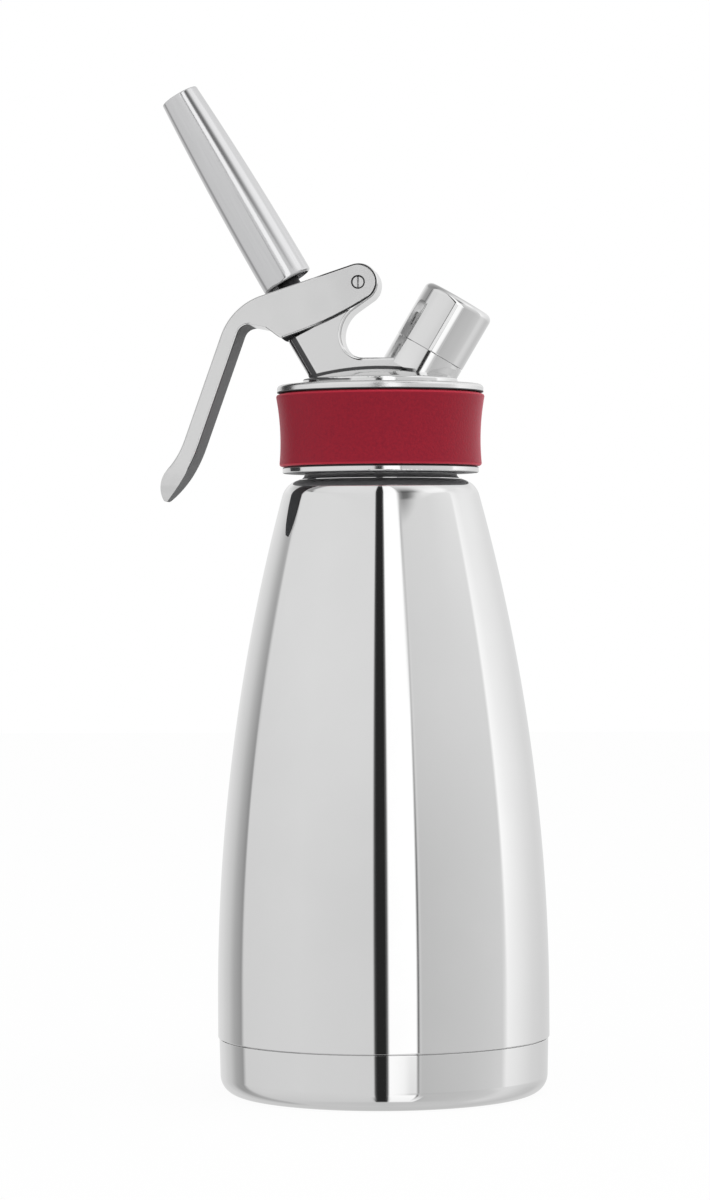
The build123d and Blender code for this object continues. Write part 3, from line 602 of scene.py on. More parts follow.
def within(tree, *limits):
    """Mask of where each value lies within its limits (first, last, fade), with a fade outside both ends."""
    shares = []
    for value, (first, last, fade) in limits:
        for end, outside in ((first, first - fade), (last, last + fade)):
            ramp = {"Value": value, "From Min": outside, "From Max": end}
            shares.append(add(tree, "ShaderNodeMapRange", inputs=ramp).outputs["Result"])
    return combined(tree, "MULTIPLY", *shares)


def surface(tree, shader, colour, roughness, grain=None, relief=0.0, depth=0.2):
    """Link a colour and a roughness to the shader, and a grain as a relief of a strength and a depth."""
    tree.links.new(colour, shader.inputs["Base Color"])
    tree.links.new(roughness, shader.inputs["Roughness"])
    if grain is not None:
        bump = add(tree, "ShaderNodeBump",
                   inputs={"Strength": relief, "Distance": depth * MM, "Height": grain})
        tree.links.new(bump.outputs["Normal"], shader.inputs["Normal"])


def drifting_metal(name, patch, tones, roughness):
    """Bare metal whose colour and roughness drift together in patches of a size in millimetres."""
    material, tree, shader, place = start(name, {"Metallic": 1.0})
    colour, drift = mottled(tree, place, patch, tones)
    surface(tree, shader, colour, between(tree, drift, *roughness))
    return material


def buffed_or_shaded(tree, shader, mask, buffed, dull):
    """Colour, metal and roughness that go over from a buffed surface to dull patches of painted shade."""
    colour = add(tree, "ShaderNodeMix", {"data_type": "RGBA"}, {0: mask, 6: buffed[0], 7: dull[0]})
    roughness = add(tree, "ShaderNodeMix", inputs={0: mask, 2: buffed[1], 3: dull[1]})
    metal = add(tree, "ShaderNodeMapRange", inputs={"Value": mask, "To Min": 1.0, "To Max": SHADE_METAL})
    surface(tree, shader, colour.outputs[2], roughness.outputs[0])
    tree.links.new(metal.outputs["Result"], shader.inputs["Metallic"])


def polished_stainless():
    """Stainless sheet buffed to a mirror: clear reflections with a faint haze left by the mop."""
    return drifting_metal("mirror_polished_stainless", patch=24.0, tones=("d0d0d0", "d2d2d2"),
                          roughness=(0.025, 0.04))


def shade_dark_stainless():
    """Dull deep grey stainless with soft reflections, its dark colour painted shade for parts that sit in
    shadow.
    """
    return drifting_metal("shade_dark_stainless", patch=0.8, tones=("2e2e2f", "3a3a3b"), roughness=(0.35, 0.45))


def spring_wire():
    """Hard drawn spring wire: grey steel with short drawing marks."""
    return drifting_metal("drawn_spring_wire", patch=0.8, tones=("9a9a9e", "b8b8bb"), roughness=(0.22, 0.34))


def turned_brass():
    """Turned brass: warm yellow metal with fine tool marks."""
    return drifting_metal("turned_brass", patch=0.7, tones=("c9a24e", "dcb866"), roughness=(0.18, 0.3))


def buffed_casting():
    """Steel casting ground and buffed: a softer mirror over a fine grain."""
    material, tree, shader, place = start("buffed_steel_casting", {"Metallic": 1.0})
    colour, haze = mottled(tree, place, size=9.0, tones=("cdcdce", "d2d2d3"))
    grain = add(tree, "ShaderNodeTexNoise",
                inputs={"Vector": place, "Scale": 1 / CASTING_GRAIN, "Detail": 2.0}).outputs["Fac"]
    surface(tree, shader, colour, between(tree, haze, low=0.10, high=0.16), grain, relief=0.03, depth=0.1)
    return material


# Head: its dome's bend, top, radius and foot, the collar's groove, the way the post's left side faces, and
# the haze that hands leave on the rim
DOME_BEND = 83.6
DOME_TOP = 230.4
DOME_RADIUS = 24.0
DOME_FOOT = 226.0
GROOVE_FOOT = 198.8
GROOVE_TOP = 222.5
GROOVE_RADIUS = 29.8
POST_LEFT_SIDE = (-0.866, 0.0, -0.5)
RIM_HAZE = 0.14

# Limits of the head's masks (first, last, fade), for the painted shade and the rim's haze: of the normal, the
# reach from the axis, the run along X and the height
UNDERSIDE_NORMAL = (-1, -0.9, 0.1)
UNDERSIDE_HEIGHT = (0, 198.0, 0.5)
GROOVE_REACH = (0, GROOVE_RADIUS, 0.3)
GROOVE_HEIGHT = (GROOVE_FOOT, GROOVE_TOP, 0.1)
LIP_REACH = (GROOVE_RADIUS, FAR, 0.3)
LIP_HEIGHTS = [(GROOVE_FOOT - 0.35, GROOVE_FOOT + 0.1, 0.1), (GROOVE_TOP - 0.1, GROOVE_TOP + 0.25, 0.1)]
UPRIGHT_NORMAL = (-1, 0.5, 0.2)
UPRIGHT_REACH = (0, DOME_RADIUS, 0.5)
UPRIGHT_HEIGHT = (DOME_FOOT, FAR, 0.3)
CREASE_RUN = (-FAR, 11.0, 1.5)
CREASE_HEIGHT = (0, DOME_TOP + 0.6, 0.15)
CORNER_NORMAL = (0.2, 0.62, 0.06)
CORNER_RUN = (-FAR, -8.0, 1.0)
CORNER_HEIGHT = (DOME_FOOT, FAR, 1.0)
RIM_REACH = (28.0, FAR, 0.5)
RIM_HEIGHT = (GROOVE_TOP, DOME_FOOT, 0.1)


def head_casting():
    """Steel casting ground and buffed: a soft mirror with dull patches whose dark colour is painted shade.

    Those are the underside, the collar's groove and its lips, the post's left corner, and a line over the
    dome, whose height is its top less the square of the distance from the axis over twice its bend. The rim's
    edge, which hands rub, reflects more softly.
    """
    material, tree, shader, place = start("buffed_head_casting", {"Metallic": 1.0})
    buffed, haze = mottled(tree, place, size=9.0, tones=("d3d3d3", "d7d7d7"))
    crease_shade_colour, shade_drift = mottled(tree, place, size=1.6, tones=("3a3a3b", "464647"))
    underside_shade_colour, _ = mottled(tree, place, size=4.0, tones=("707072", "7a7a7c"))
    normal = add(tree, "ShaderNodeTexCoord").outputs["Normal"]
    rising = add(tree, "ShaderNodeSeparateXYZ", inputs={0: normal}).outputs["Z"]
    facing = add(tree, "ShaderNodeVectorMath", {"operation": "DOT_PRODUCT"},
                 {0: normal, 1: POST_LEFT_SIDE}).outputs["Value"]
    spot = add(tree, "ShaderNodeSeparateXYZ", inputs={0: place})
    run, height = spot.outputs["X"], spot.outputs["Z"]
    flat = add(tree, "ShaderNodeVectorMath", {"operation": "MULTIPLY"}, {0: place, 1: (1, 1, 0)})
    reach = add(tree, "ShaderNodeVectorMath", {"operation": "LENGTH"}, {0: flat.outputs[0]}).outputs["Value"]
    square = add(tree, "ShaderNodeMath", {"operation": "POWER"}, {0: reach, 1: 2.0})
    over_dome = add(tree, "ShaderNodeMath", {"operation": "MULTIPLY_ADD"},
                    {0: square.outputs[0], 1: 0.5 / DOME_BEND, 2: height}).outputs[0]
    underside = within(tree, (rising, UNDERSIDE_NORMAL), (height, UNDERSIDE_HEIGHT))
    groove = within(tree, (reach, GROOVE_REACH), (height, GROOVE_HEIGHT))
    lips = [within(tree, (reach, LIP_REACH), (height, limits)) for limits in LIP_HEIGHTS]
    crease = within(tree, (rising, UPRIGHT_NORMAL), (reach, UPRIGHT_REACH), (height, UPRIGHT_HEIGHT),
                    (run, CREASE_RUN), (over_dome, CREASE_HEIGHT))
    corner = within(tree, (facing, CORNER_NORMAL), (run, CORNER_RUN), (height, CORNER_HEIGHT))
    # Painted shade: dark dull patches on the underside, in the groove and on its lips, on the crease and the
    # corner
    mask = combined(tree, "MAXIMUM", underside, groove, *lips, crease, corner)
    shaded_dull_colour = add(tree, "ShaderNodeMix", {"data_type": "RGBA"},
                      {0: underside, 6: crease_shade_colour, 7: underside_shade_colour}).outputs[2]
    rim = within(tree, (reach, RIM_REACH), (height, RIM_HEIGHT))
    polish = add(tree, "ShaderNodeMath", {"operation": "MULTIPLY_ADD"},
                 {0: rim, 1: RIM_HAZE, 2: between(tree, haze, low=0.08, high=0.13)}).outputs[0]
    buffed_or_shaded(tree, shader, mask, (buffed, polish),
                 (shaded_dull_colour, between(tree, shade_drift, low=0.45, high=0.55)))
    return material


# Lever and pin: the way the lever's inner side faces, how much of the painted shade shows along the handle's
# outer edge, the pin's radius and half length, and the range of the painted shade in its driver slot
LEVER_INNER_SIDE = (0.8, 0.0, -0.6)
OUTER_EDGE_SHARE = 0.35
PIN_RADIUS = 1.8
PIN_END = 10.7
SLOT_SHADE = (0.2, 0.8)

# Limits of the painted shade's masks on lever and pin (first, last, fade): of the run along X, the normal,
# the height, the side, which is negative where a cheek looks inwards, and the reach from the hinge's axis
HANDLE_RUN = (-FAR, -21.0, 4.0)
INNER_NORMAL = (0.66, 1, 0.12)
OUTER_NORMAL = (-1, -0.3, 0.2)
EDGE_NORMAL = (0.1, 0.96, 0.03)
BEND_HEIGHT = (250.0, FAR, 24.0)
CHEEK_SIDE = (-FAR, -7.0, 3.0)
RING_REACH = (0, PIN_RADIUS + 0.3, 0.05)
SLOT_SIDE = (0.2 - PIN_END, PIN_END - 0.2, 0.05)
PIN_RIM_REACH = (PIN_RADIUS - 0.05, FAR, 0.1)


def from_hinge(tree, place):
    """Distance from the hinge's axis, which lies along Y."""
    hinge = np.array(joints["lever_squeeze"]["pos_m"]) / MM
    offset = add(tree, "ShaderNodeVectorMath", {"operation": "SUBTRACT"}, {0: place, 1: hinge.tolist()})
    flat = add(tree, "ShaderNodeVectorMath", {"operation": "MULTIPLY"}, {0: offset.outputs[0], 1: (1, 0, 1)})
    return add(tree, "ShaderNodeVectorMath", {"operation": "LENGTH"}, {0: flat.outputs[0]}).outputs["Value"]


def lever_casting():
    """Steel casting buffed outside: a soft mirror, with dull patches whose dark grey is painted shade.

    The patches are the inner side, where the normal faces the bottle on the handle, the insides of the
    cheeks, the ring round the hinge pin, a line along the arm's rounded edges, where the normal turns from
    the side, and a fainter one along the handle's outer edge. The painted shade darkens with the height,
    up to the bend.
    """
    material, tree, shader, place = start("lever_steel_casting", {"Metallic": 1.0})
    buffed, haze = mottled(tree, place, size=9.0, tones=("d6d6d6", "dadada"))
    shade_base_colour, shade_drift = mottled(tree, place, size=1.6, tones=("484a4c", "525456"))
    normal = add(tree, "ShaderNodeTexCoord").outputs["Normal"]
    sideways = add(tree, "ShaderNodeSeparateXYZ", inputs={0: normal}).outputs["Y"]
    facing = add(tree, "ShaderNodeVectorMath", {"operation": "DOT_PRODUCT"},
                 {0: normal, 1: LEVER_INNER_SIDE}).outputs["Value"]
    spot = add(tree, "ShaderNodeSeparateXYZ", inputs={0: place})
    shade = within(tree, (spot.outputs["Z"], BEND_HEIGHT))
    shaded_dull_colour = add(tree, "ShaderNodeMix", {"data_type": "RGBA"},
                      {0: shade, 6: shade_base_colour, 7: linear("121314")}).outputs[2]
    handle = within(tree, (spot.outputs["X"], HANDLE_RUN))
    inner = combined(tree, "MULTIPLY", within(tree, (facing, INNER_NORMAL)), handle)
    outer = combined(tree, "MULTIPLY", within(tree, (facing, OUTER_NORMAL)), handle, OUTER_EDGE_SHARE)
    turned_aside = add(tree, "ShaderNodeMath", {"operation": "ABSOLUTE"}, {0: sideways}).outputs[0]
    edge = combined(tree, "SUBTRACT", within(tree, (turned_aside, EDGE_NORMAL)), handle)
    side = add(tree, "ShaderNodeMath", {"operation": "MULTIPLY"}, {0: spot.outputs["Y"], 1: sideways})
    cheek = within(tree, (side.outputs[0], CHEEK_SIDE))
    ring = within(tree, (from_hinge(tree, place), RING_REACH))
    # Painted shade on the inner side, a fainter line along the outer edge, the cheeks' insides, the pin's
    # ring, the edges
    mask = combined(tree, "MAXIMUM", inner, outer, cheek, ring, edge)
    buffed_or_shaded(tree, shader, mask, (buffed, between(tree, haze, low=0.12, high=0.18)),
                 (shaded_dull_colour, between(tree, shade_drift, low=0.5, high=0.6)))
    return material


def pin_steel():
    """Turned steel pin: bright end, with painted shade on the floor of its driver slot and round its rim."""
    material, tree, shader, place = start("turned_pin_steel", {"Metallic": 1.0})
    bright, marks = mottled(tree, place, size=0.6, tones=("d6d6d6", "e2e2e2"))
    dark, shade_drift = mottled(tree, place, size=0.6, tones=("2c2c2d", "3a3a3b"))
    side = add(tree, "ShaderNodeSeparateXYZ", inputs={0: place}).outputs["Y"]
    slot = combined(tree, "MULTIPLY", within(tree, (side, SLOT_SIDE)), between(tree, marks, *SLOT_SHADE))
    rim = within(tree, (from_hinge(tree, place), PIN_RIM_REACH))
    # Painted shade in the driver slot and round the rim
    mask = combined(tree, "MAXIMUM", slot, rim)
    buffed_or_shaded(tree, shader, mask, (bright, between(tree, marks, low=0.12, high=0.2)),
                 (dark, between(tree, shade_drift, low=0.4, high=0.5)))
    return material


def satin_tube():
    """Drawn and linished tube: fine streaks along the nozzle that soften what it reflects."""
    material, tree, shader, place = start("linished_stainless_tube", {"Metallic": 1.0})
    axis = Vector(joints["tip_turn"]["axis"])
    turn = (0, math.atan2(axis.x, axis.z), 0)
    drawn = add(tree, "ShaderNodeMapping", {"vector_type": "TEXTURE"},
                {"Vector": place, "Rotation": turn, "Scale": (1, 1, STREAK_STRETCH)}).outputs["Vector"]
    colour, streaks = mottled(tree, drawn, STREAK_WIDTH, tones=("c4c4c5", "c8c8c9"))
    surface(tree, shader, colour, between(tree, streaks, low=0.12, high=0.14))
    return material


def blasted_stainless():
    """Stainless left dull from blasting: wide soft reflections and a fine even grain."""
    material, tree, shader, place = start("blasted_stainless", {"Metallic": 1.0})
    colour, grain = mottled(tree, place, BLAST_GRAIN, tones=("b4b4b6", "c4c4c6"))
    surface(tree, shader, colour, between(tree, grain, low=0.28, high=0.4), grain, relief=0.12)
    return material


# Limits of the height (first, last, fade) of the painted highlight along the collar's edges
COLLAR_HIGHLIGHT_EDGES = [(0, COLLAR_FOOT + 0.4, 0.3), (COLLAR_FOOT + COLLAR_HEIGHT - COLLAR_TOP_GAP - 0.4, FAR, 0.3)]


def collar_silicone():
    """Moulded red silicone: matte and finely speckled, with a pale sheen at its sides and painted highlights
    on its edges.
    """
    material, tree, shader, place = start(
        "red_moulded_silicone", {"IOR": 1.41, "Specular IOR Level": 0.15, "Sheen Weight": 0.5,
                                 "Sheen Roughness": 0.35, "Sheen Tint": linear("ffa0ae")})
    colour, speckle = mottled(tree, place, COLLAR_SPECKLE, tones=("82182a", "901c2c"))
    height = add(tree, "ShaderNodeSeparateXYZ", inputs={0: place}).outputs["Z"]
    # Painted highlight: a lighter red along the top and bottom edges
    highlight_edges = combined(tree, "MAXIMUM", *[within(tree, (height, limits)) for limits in COLLAR_HIGHLIGHT_EDGES])
    lit = add(tree, "ShaderNodeMix", {"data_type": "RGBA"},
              {0: highlight_edges, 6: colour, 7: linear("b0283a")}).outputs[2]
    surface(tree, shader, lit, between(tree, speckle, low=0.45, high=0.58), speckle, relief=0.3)
    return material


def silicone(name, tones, specular):
    """Moulded silicone or rubber: matte, with the mould's fine grain and a soft sheen at grazing angles."""
    material, tree, shader, place = start(
        name, {"IOR": 1.41, "Specular IOR Level": specular, "Sheen Weight": 0.12, "Sheen Roughness": 0.4})
    colour, _ = mottled(tree, place, size=5.0, tones=tones)
    grain = add(tree, "ShaderNodeTexNoise",
                inputs={"Vector": place, "Scale": 1 / SILICONE_GRAIN, "Detail": 4.0}).outputs["Fac"]
    surface(tree, shader, colour, between(tree, grain, low=0.55, high=0.7), grain, relief=0.25)
    return material


# Studio

# Camera: its place, lens and sensor, the photograph's slight roll, how near and far it sees, and its aim.
# Angles are in degrees.
CAMERA_AZIMUTH = 4.5
CAMERA_DISTANCE = 1257.0
CAMERA_HEIGHT = 162.3
CAMERA_LENS = 118.5
CAMERA_SENSOR = 36.0
CAMERA_ROLL = -0.324
CAMERA_NEAR = 50.0
CAMERA_FAR = 20000.0
AIM_RIGHT = -8.4
AIM_HEIGHT = 156.6

# Tent: the brightness that its ramps' full white stands for, the shade of the dark gap behind the camera and
# its usual edges, and the rows. A row has its elevation, its brightness beyond the object, its stops left of
# the gap, the gap's edges, and its stops right of the gap. A stop is an azimuth from the camera's and a
# brightness, where 1 is white. Angles are in degrees.
TENT_PEAK = 2.0
GAP_SHADE = 0.03
GAP = [-5.8, 2.4]
TENT_ROWS = [
    (-62.0, 0.8, [(-110, 0.85), (0, 0.8)], [], [(110, 0.85)]),
    (-54.0, 0.75,
     [(-150, 0.85), (-127, 0.6), (-111, 0.85), (-60, 0.92), (-9, 0.9)], [-7.6, 3.2],
     [(4.4, 1.4), (28, 1.4), (29.5, 0.5), (31, 0.72), (90, 0.85), (107, 1.0), (142, 0.8)]),
    (-22.0, 0.75,
     [(-165, 0.8), (-150, 0.88), (-136, 0.78), (-127, 0.48), (-118, 0.48), (-111, 0.88), (-100, 0.95),
      (-60, 0.96), (-7, 0.95)], GAP,
     [(3.4, 1.5), (22.4, 1.5), (22.9, 0.15), (23.7, 0.15), (24.3, 0.94), (26.5, 0.74), (60, 0.78), (85, 0.88),
      (96, 1.05), (107, 1.0), (126, 0.82), (142, 0.75), (155, 0.85)]),
    (-12.0, 0.75,
     [(-165, 0.84), (-150, 0.88), (-136, 0.78), (-127, 0.52), (-117, 0.48), (-112, 0.92), (-60, 0.98),
      (-7, 0.95)], GAP,
     [(3.4, 1.5), (9, 1.4), (14, 1.2), (18.5, 0.73), (28, 0.7), (45, 0.74), (63, 0.79), (78, 0.87),
      (88, 1.03), (101, 1.05), (114, 0.95), (130, 0.86)]),
    (-8.0, 0.77,
     [(-165, 0.87), (-150, 0.9), (-136, 0.79), (-127, 0.57), (-117, 0.45), (-113, 0.94), (-60, 1.0),
      (-7, 0.96)], GAP,
     [(3.4, 1.53), (22.5, 1.56), (23, 0.14), (23.8, 0.14), (24.4, 0.97), (26.5, 0.78), (60, 0.85), (90, 0.93),
      (95, 1.3), (106, 1.2), (126, 0.98), (142, 0.88)]),
    (3.0, 0.78,
     [(-180, 0.74), (-165, 0.92), (-152, 0.92), (-142, 0.88), (-134, 0.79), (-127, 0.63), (-120, 0.49),
      (-116, 0.38), (-114.5, 0.98), (-60, 1.02), (-7, 0.96)], GAP,
     [(3.4, 1.55), (22.6, 1.6), (23.1, 0.12), (23.9, 0.12), (24.5, 1.0), (26.5, 0.81), (93, 0.96), (95, 1.5),
      (105, 1.34), (115, 1.22), (127, 1.1), (142, 0.98), (165, 0.88)]),
    (15.0, 0.9,
     [(-160, 1.08), (-146, 1.05), (-138, 1.0), (-130, 0.86), (-124, 0.7), (-119, 0.6), (-114.5, 0.62),
      (-112, 1.06), (-60, 1.08), (-7, 1.05)], GAP,
     [(3.4, 1.55), (22.4, 1.6), (22.9, 0.55), (23.5, 0.6), (24.1, 1.08), (26, 0.93), (93, 1.06), (95, 1.45),
      (105, 1.3), (115, 1.25), (127, 1.2), (142, 1.12), (160, 1.05)]),
    (28.5, 0.7,
     [(-160, 0.75), (-138, 0.66), (-125, 0.52), (-113, 0.5), (-108, 1.06), (-60, 1.08), (-7, 1.06)], GAP,
     [(3.4, 1.55), (20.5, 1.6), (22.4, 0.6), (24.2, 1.0), (60, 1.04), (90, 1.2), (95, 1.3), (105, 1.15),
      (115, 1.2), (126, 1.22), (140, 1.12), (157, 0.9)]),
    (31.0, 0.62,
     [(-160, 0.5), (-104, 0.46), (-102, 0.22), (-98, 0.22), (-96, 1.0), (-60, 1.05), (-7, 1.04)], GAP,
     [(3.4, 1.55), (19, 1.58), (24, 0.42), (28, 0.24), (33, 0.25), (38, 0.45), (45, 0.95), (54, 1.2),
      (66, 1.35), (88, 1.38), (98, 1.13), (113, 1.15), (123, 1.26), (137, 1.1), (155, 0.85)]),
    (38.0, 0.6,
     [(-140, 0.45), (-104, 0.42), (-100, 1.04), (-60, 1.1), (-7.5, 1.08)], [-6, 3],
     [(4, 1.5), (19, 1.58), (23, 0.5), (28, 0.15), (36, 0.17), (44, 0.4), (53, 1.05), (62, 1.4), (89, 1.5),
      (104, 1.15), (118, 1.15), (137, 1.0)]),
    (66.0, 0.5,
     [(-140, 0.4), (-112, 0.3), (-100, 1.05), (-60, 1.12), (-7.5, 1.1)], [-6, 3],
     [(4, 1.5), (21, 1.55), (22.6, 0.7), (25, 1.05), (60, 1.1), (95, 1.2), (137, 0.9)]),
    (84.0, 0.6, [(-90, 0.8), (-20, 0.8), (0, 0.5)], [], [(20, 0.9), (90, 0.9)]),
]

# Floor: half its width, its grey, and the share of plain white that the camera sees on it
FLOOR_HALF = 3000.0
FLOOR_GREY = 0.85
FLOOR_WHITE = 0.95

# Soft lamp
LAMP_PLACE = (500.0, -500.0, 1500.0)
LAMP_AIM = (0.0, 0.0, 150.0)
LAMP_SIZE = 1200.0
LAMP_WATTS = 6.0

# Fill lamps: distance before the axis, watts on a square metre for white, and each lamp's stations along the
# axis, places aside at its two ends, width and brightness
FILL_DISTANCE = 110.0
WHITE_WATTS = math.pi
NOZZLE_FILL = ((60.0, 175.0), (14.0, 22.5), 17.0, 0.9)
CAP_FILL = ((25.0, 75.0), (5.9, 5.9), 16.5, 1.2)


def tent_row(tree, share, beyond, bands):
    """Brightness over the tent's peak, from stop to stop as the azimuth's share of a turn grows."""
    stops = [((angle + CAMERA_AZIMUTH + 180) / 360, brightness) for angle, brightness in bands]
    stops = [(0, beyond), *stops, (1, beyond)]
    ramp = add(tree, "ShaderNodeValToRGB", inputs={"Fac": share})
    for _ in stops[2:]:
        ramp.color_ramp.elements.new(1.0)
    for element, (place, brightness) in zip(ramp.color_ramp.elements, stops):
        grey = brightness / TENT_PEAK
        element.position = place
        element.color = (grey, grey, grey, 1)
    return ramp.outputs["Color"]


def studio_world():
    """White tent round the object: bands of light and shade by azimuth, a row of them for each elevation.

    The azimuth is that of the ray's direction, from -Y towards +X. Between two rows the brightness goes over
    evenly with the ray's height. Camera rays see plain white.
    """
    world = bpy.data.worlds.new("studio_tent")
    scene.world = world
    tree = empty_tree(world)
    direction = add(tree, "ShaderNodeTexCoord").outputs["Generated"]
    ray = add(tree, "ShaderNodeSeparateXYZ", inputs={0: direction})
    front = add(tree, "ShaderNodeMath", {"operation": "MULTIPLY"}, {0: ray.outputs["Y"], 1: -1.0})
    azimuth = add(tree, "ShaderNodeMath", {"operation": "ARCTAN2"},
                  {0: ray.outputs["X"], 1: front.outputs[0]}).outputs[0]
    share = add(tree, "ShaderNodeMath", {"operation": "MULTIPLY_ADD"},
                {0: azimuth, 1: 1 / math.tau, 2: 0.5}).outputs[0]
    below, tent = None, None
    for elevation, beyond, left, gap, right in TENT_ROWS:
        row = tent_row(tree, share, beyond, left + [(edge, GAP_SHADE) for edge in gap] + right)
        if tent is not None:
            rise = add(tree, "ShaderNodeMapRange", inputs={
                "Value": ray.outputs["Z"], "From Min": math.sin(math.radians(below)),
                "From Max": math.sin(math.radians(elevation))})
            row = add(tree, "ShaderNodeMix", inputs={0: rise.outputs["Result"], 2: tent, 3: row}).outputs[0]
        below, tent = elevation, row
    light = add(tree, "ShaderNodeBackground", inputs={"Color": tent, "Strength": TENT_PEAK})
    white = add(tree, "ShaderNodeBackground", inputs={"Color": (1, 1, 1, 1), "Strength": 1.0})
    seen = add(tree, "ShaderNodeLightPath").outputs["Is Camera Ray"]
    mixed = add(tree, "ShaderNodeMixShader", inputs={0: seen, 1: light.outputs[0], 2: white.outputs[0]})
    add(tree, "ShaderNodeOutputWorld", inputs={"Surface": mixed.outputs[0]})


def studio_floor():
    """Plain pale floor that keeps the object's shadow and otherwise shows as the white background."""
    size = FLOOR_HALF * MM
    mesh = bpy.data.meshes.new("floor")
    corners = [(-size, -size, 0), (size, -size, 0), (size, size, 0), (-size, size, 0)]
    mesh.from_pydata(corners, [], [(0, 1, 2, 3)])
    floor = new_object("floor", mesh)
    material = bpy.data.materials.new("pale_floor")
    tree = empty_tree(material)
    paint = add(tree, "ShaderNodeBsdfDiffuse", inputs={"Color": (FLOOR_GREY, FLOOR_GREY, FLOOR_GREY, 1)})
    glow = add(tree, "ShaderNodeEmission", inputs={"Color": (1, 1, 1, 1), "Strength": 1.0})
    clear = add(tree, "ShaderNodeBsdfTransparent")
    path = add(tree, "ShaderNodeLightPath")
    seen = combined(tree, "MULTIPLY", path.outputs["Is Camera Ray"], FLOOR_WHITE)
    pale = add(tree, "ShaderNodeMixShader", inputs={0: seen, 1: paint.outputs[0], 2: glow.outputs[0]})
    mirrored = combined(tree, "MAXIMUM", path.outputs["Is Glossy Ray"], path.outputs["Is Transmission Ray"])
    mixed = add(tree, "ShaderNodeMixShader", inputs={0: mirrored, 1: pale.outputs[0], 2: clear.outputs[0]})
    add(tree, "ShaderNodeOutputMaterial", inputs={"Surface": mixed.outputs[0]})
    mesh.materials.append(material)


def panel_lamp(name, width, length, watts):
    """New rectangular lamp of a width and a length in millimetres, not yet placed."""
    data = bpy.data.lights.new(name, "AREA")
    data.shape = "RECTANGLE"
    data.size, data.size_y = width * MM, length * MM
    data.energy = watts
    return new_object(name, data)


def studio_lamp():
    """Soft lamp above and to the right, for the shadow and the shading of the silicone."""
    lamp = panel_lamp("soft_lamp", LAMP_SIZE, LAMP_SIZE, LAMP_WATTS)
    lamp.location = Vector(LAMP_PLACE) * MM
    lamp.rotation_euler = (Vector(LAMP_AIM) - Vector(LAMP_PLACE)).to_track_quat("-Z", "Y").to_euler()
    lamp.visible_glossy = False


def fill_lamp(piece, axis, stations, asides, width, brightness):
    """Small strip lamp that stands before one piece, nearly along its axis.

    Light linking keeps it to that piece, and it shows only in the piece's polish.
    """
    foot, along, beside, across = axis
    ends = [Vector(foot + station * along + aside * beside - FILL_DISTANCE * across)
            for station, aside in zip(stations, asides)]
    upright = ends[1] - ends[0]
    watts = brightness * WHITE_WATTS * width * MM * upright.length * MM
    lamp = panel_lamp(piece.name + "_fill", width, upright.length, watts)
    outward = Vector(-across)
    upright.normalize()
    turn = Matrix((upright.cross(outward), upright, outward)).transposed()
    lamp.matrix_world = Matrix.Translation((ends[0] + ends[1]) / 2 * MM) @ turn.to_4x4()
    lamp.visible_camera = False
    lamp.visible_diffuse = False
    reached = bpy.data.collections.new(lamp.name)
    reached.objects.link(piece)
    lamp.light_linking.receiver_collection = reached


def studio_camera():
    """Camera on the near side, a little to the right, level with the upper half of the bottle."""
    data = bpy.data.cameras.new("camera")
    data.sensor_fit = "VERTICAL"
    data.sensor_height = CAMERA_SENSOR
    data.lens = CAMERA_LENS
    data.clip_start, data.clip_end = CAMERA_NEAR * MM, CAMERA_FAR * MM
    camera = new_object("camera", data)
    azimuth = math.radians(CAMERA_AZIMUTH)
    side, out = math.sin(azimuth), math.cos(azimuth)
    place = Vector((CAMERA_DISTANCE * side, -CAMERA_DISTANCE * out, CAMERA_HEIGHT)) * MM
    aim = Vector((AIM_RIGHT * out, AIM_RIGHT * side, AIM_HEIGHT)) * MM
    look = (aim - place).to_track_quat("-Z", "Y").to_matrix().to_4x4()
    roll = Matrix.Rotation(math.radians(CAMERA_ROLL), 4, "Z")
    camera.matrix_world = Matrix.Translation(place) @ look @ roll
    scene.camera = camera


# Assembly


def dress(piece, material, body, slot, *nodes):
    """Give a new piece its material, the body that it rides on and the nodes that it stands for; the slot is
    not used.
    """
    piece.data.materials.append(material)
    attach(piece, body)
    if nodes:
        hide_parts(*nodes)
    return piece


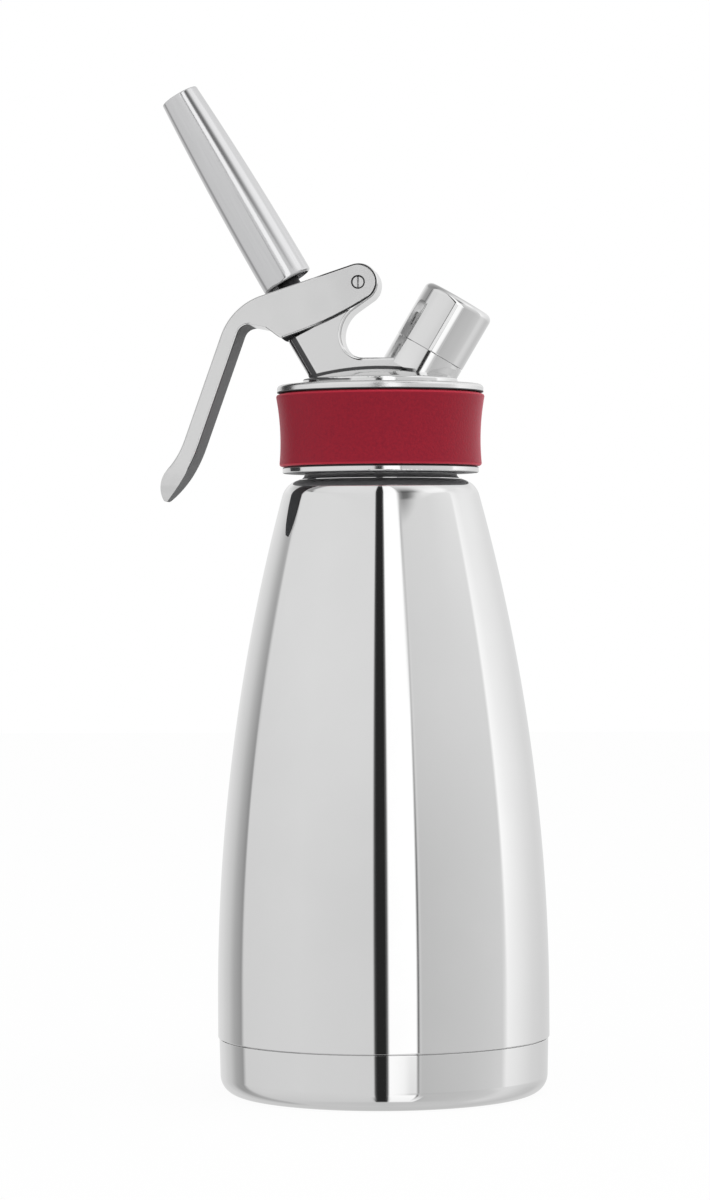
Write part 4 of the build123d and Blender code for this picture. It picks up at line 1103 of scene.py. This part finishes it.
scene.view_settings.view_transform = "Standard"
studio_world()
studio_floor()
studio_lamp()
studio_camera()

mirror = polished_stainless()
casting = buffed_casting()
satin = satin_tube()
blasted = blasted_stainless()
# Dark grey that is painted shade, for the nozzle's adapter, the stem and its collar
shade_dark = shade_dark_stainless()
spring_steel = spring_wire()
brass = turned_brass()
red = silicone("red_silicone", tones=("7d1a22", "861d26"), specular=0.2)
white = silicone("white_silicone", tones=("dcdbd6", "e4e3de"), specular=0.3)
black = silicone("black_nitrile", tones=("1c1c1d", "242425"), specular=0.4)

dress(bottle_jacket(), mirror, "bottle", "polished_steel", "outer_shell")
dress(foot_cup(), mirror, "bottle", "polished_steel", "base_cup")
dress(threaded_neck(), blasted, "bottle", "satin_steel", "neck_ring")
dress(neck_flare(), mirror, "bottle", "polished_steel")
dress(collar_grip(), collar_silicone(), "head", "red_silicone", "grip_collar")
nozzle = dress(nozzle_tube(), satin, "tip", "satin_steel", "nozzle_tip")
fill_lamp(nozzle, joint_axis("tip_turn"), *NOZZLE_FILL)
dress(threaded_adapter(), shade_dark, "valve", "satin_steel", "tip_adapter")
cap = dress(charger_cap(), mirror, "cap", "polished_steel", "port_cap")
fill_lamp(cap, joint_axis("cap_turn"), *CAP_FILL)
dress(port_thread(), casting, "head", "polished_cast_steel")
spring = dress(return_spring(), spring_steel, "head", "spring_steel", "valve_spring")
spring_foot, spring_axis = joint_axis("tip_turn")[:2]
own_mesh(spring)

node_finishes = [
    (blasted, ["inner_flask", "vacuum_plate", "vacuum_seal", "piercing_pin"]),
    (head_casting(), ["head_body"]),
    (lever_casting(), ["lever"]),
    (pin_steel(), ["hinge_pin"]),
    # Stem and its collar: dark grey that is painted shade
    (shade_dark, ["valve_stem", "stem_collar"]),
    (brass, ["piercer_nut"]),
    (red, ["head_gasket"]),
    (white, ["piercer_gasket", "cap_liner"]),
    (black, ["stem_oring", "check_valve", "valve_seal", "tip_oring"]),
]
for finish, nodes in node_finishes:
    for node in nodes:
        for material_slot in frame["nodes"][node].material_slots:
            material_slot.material = finish
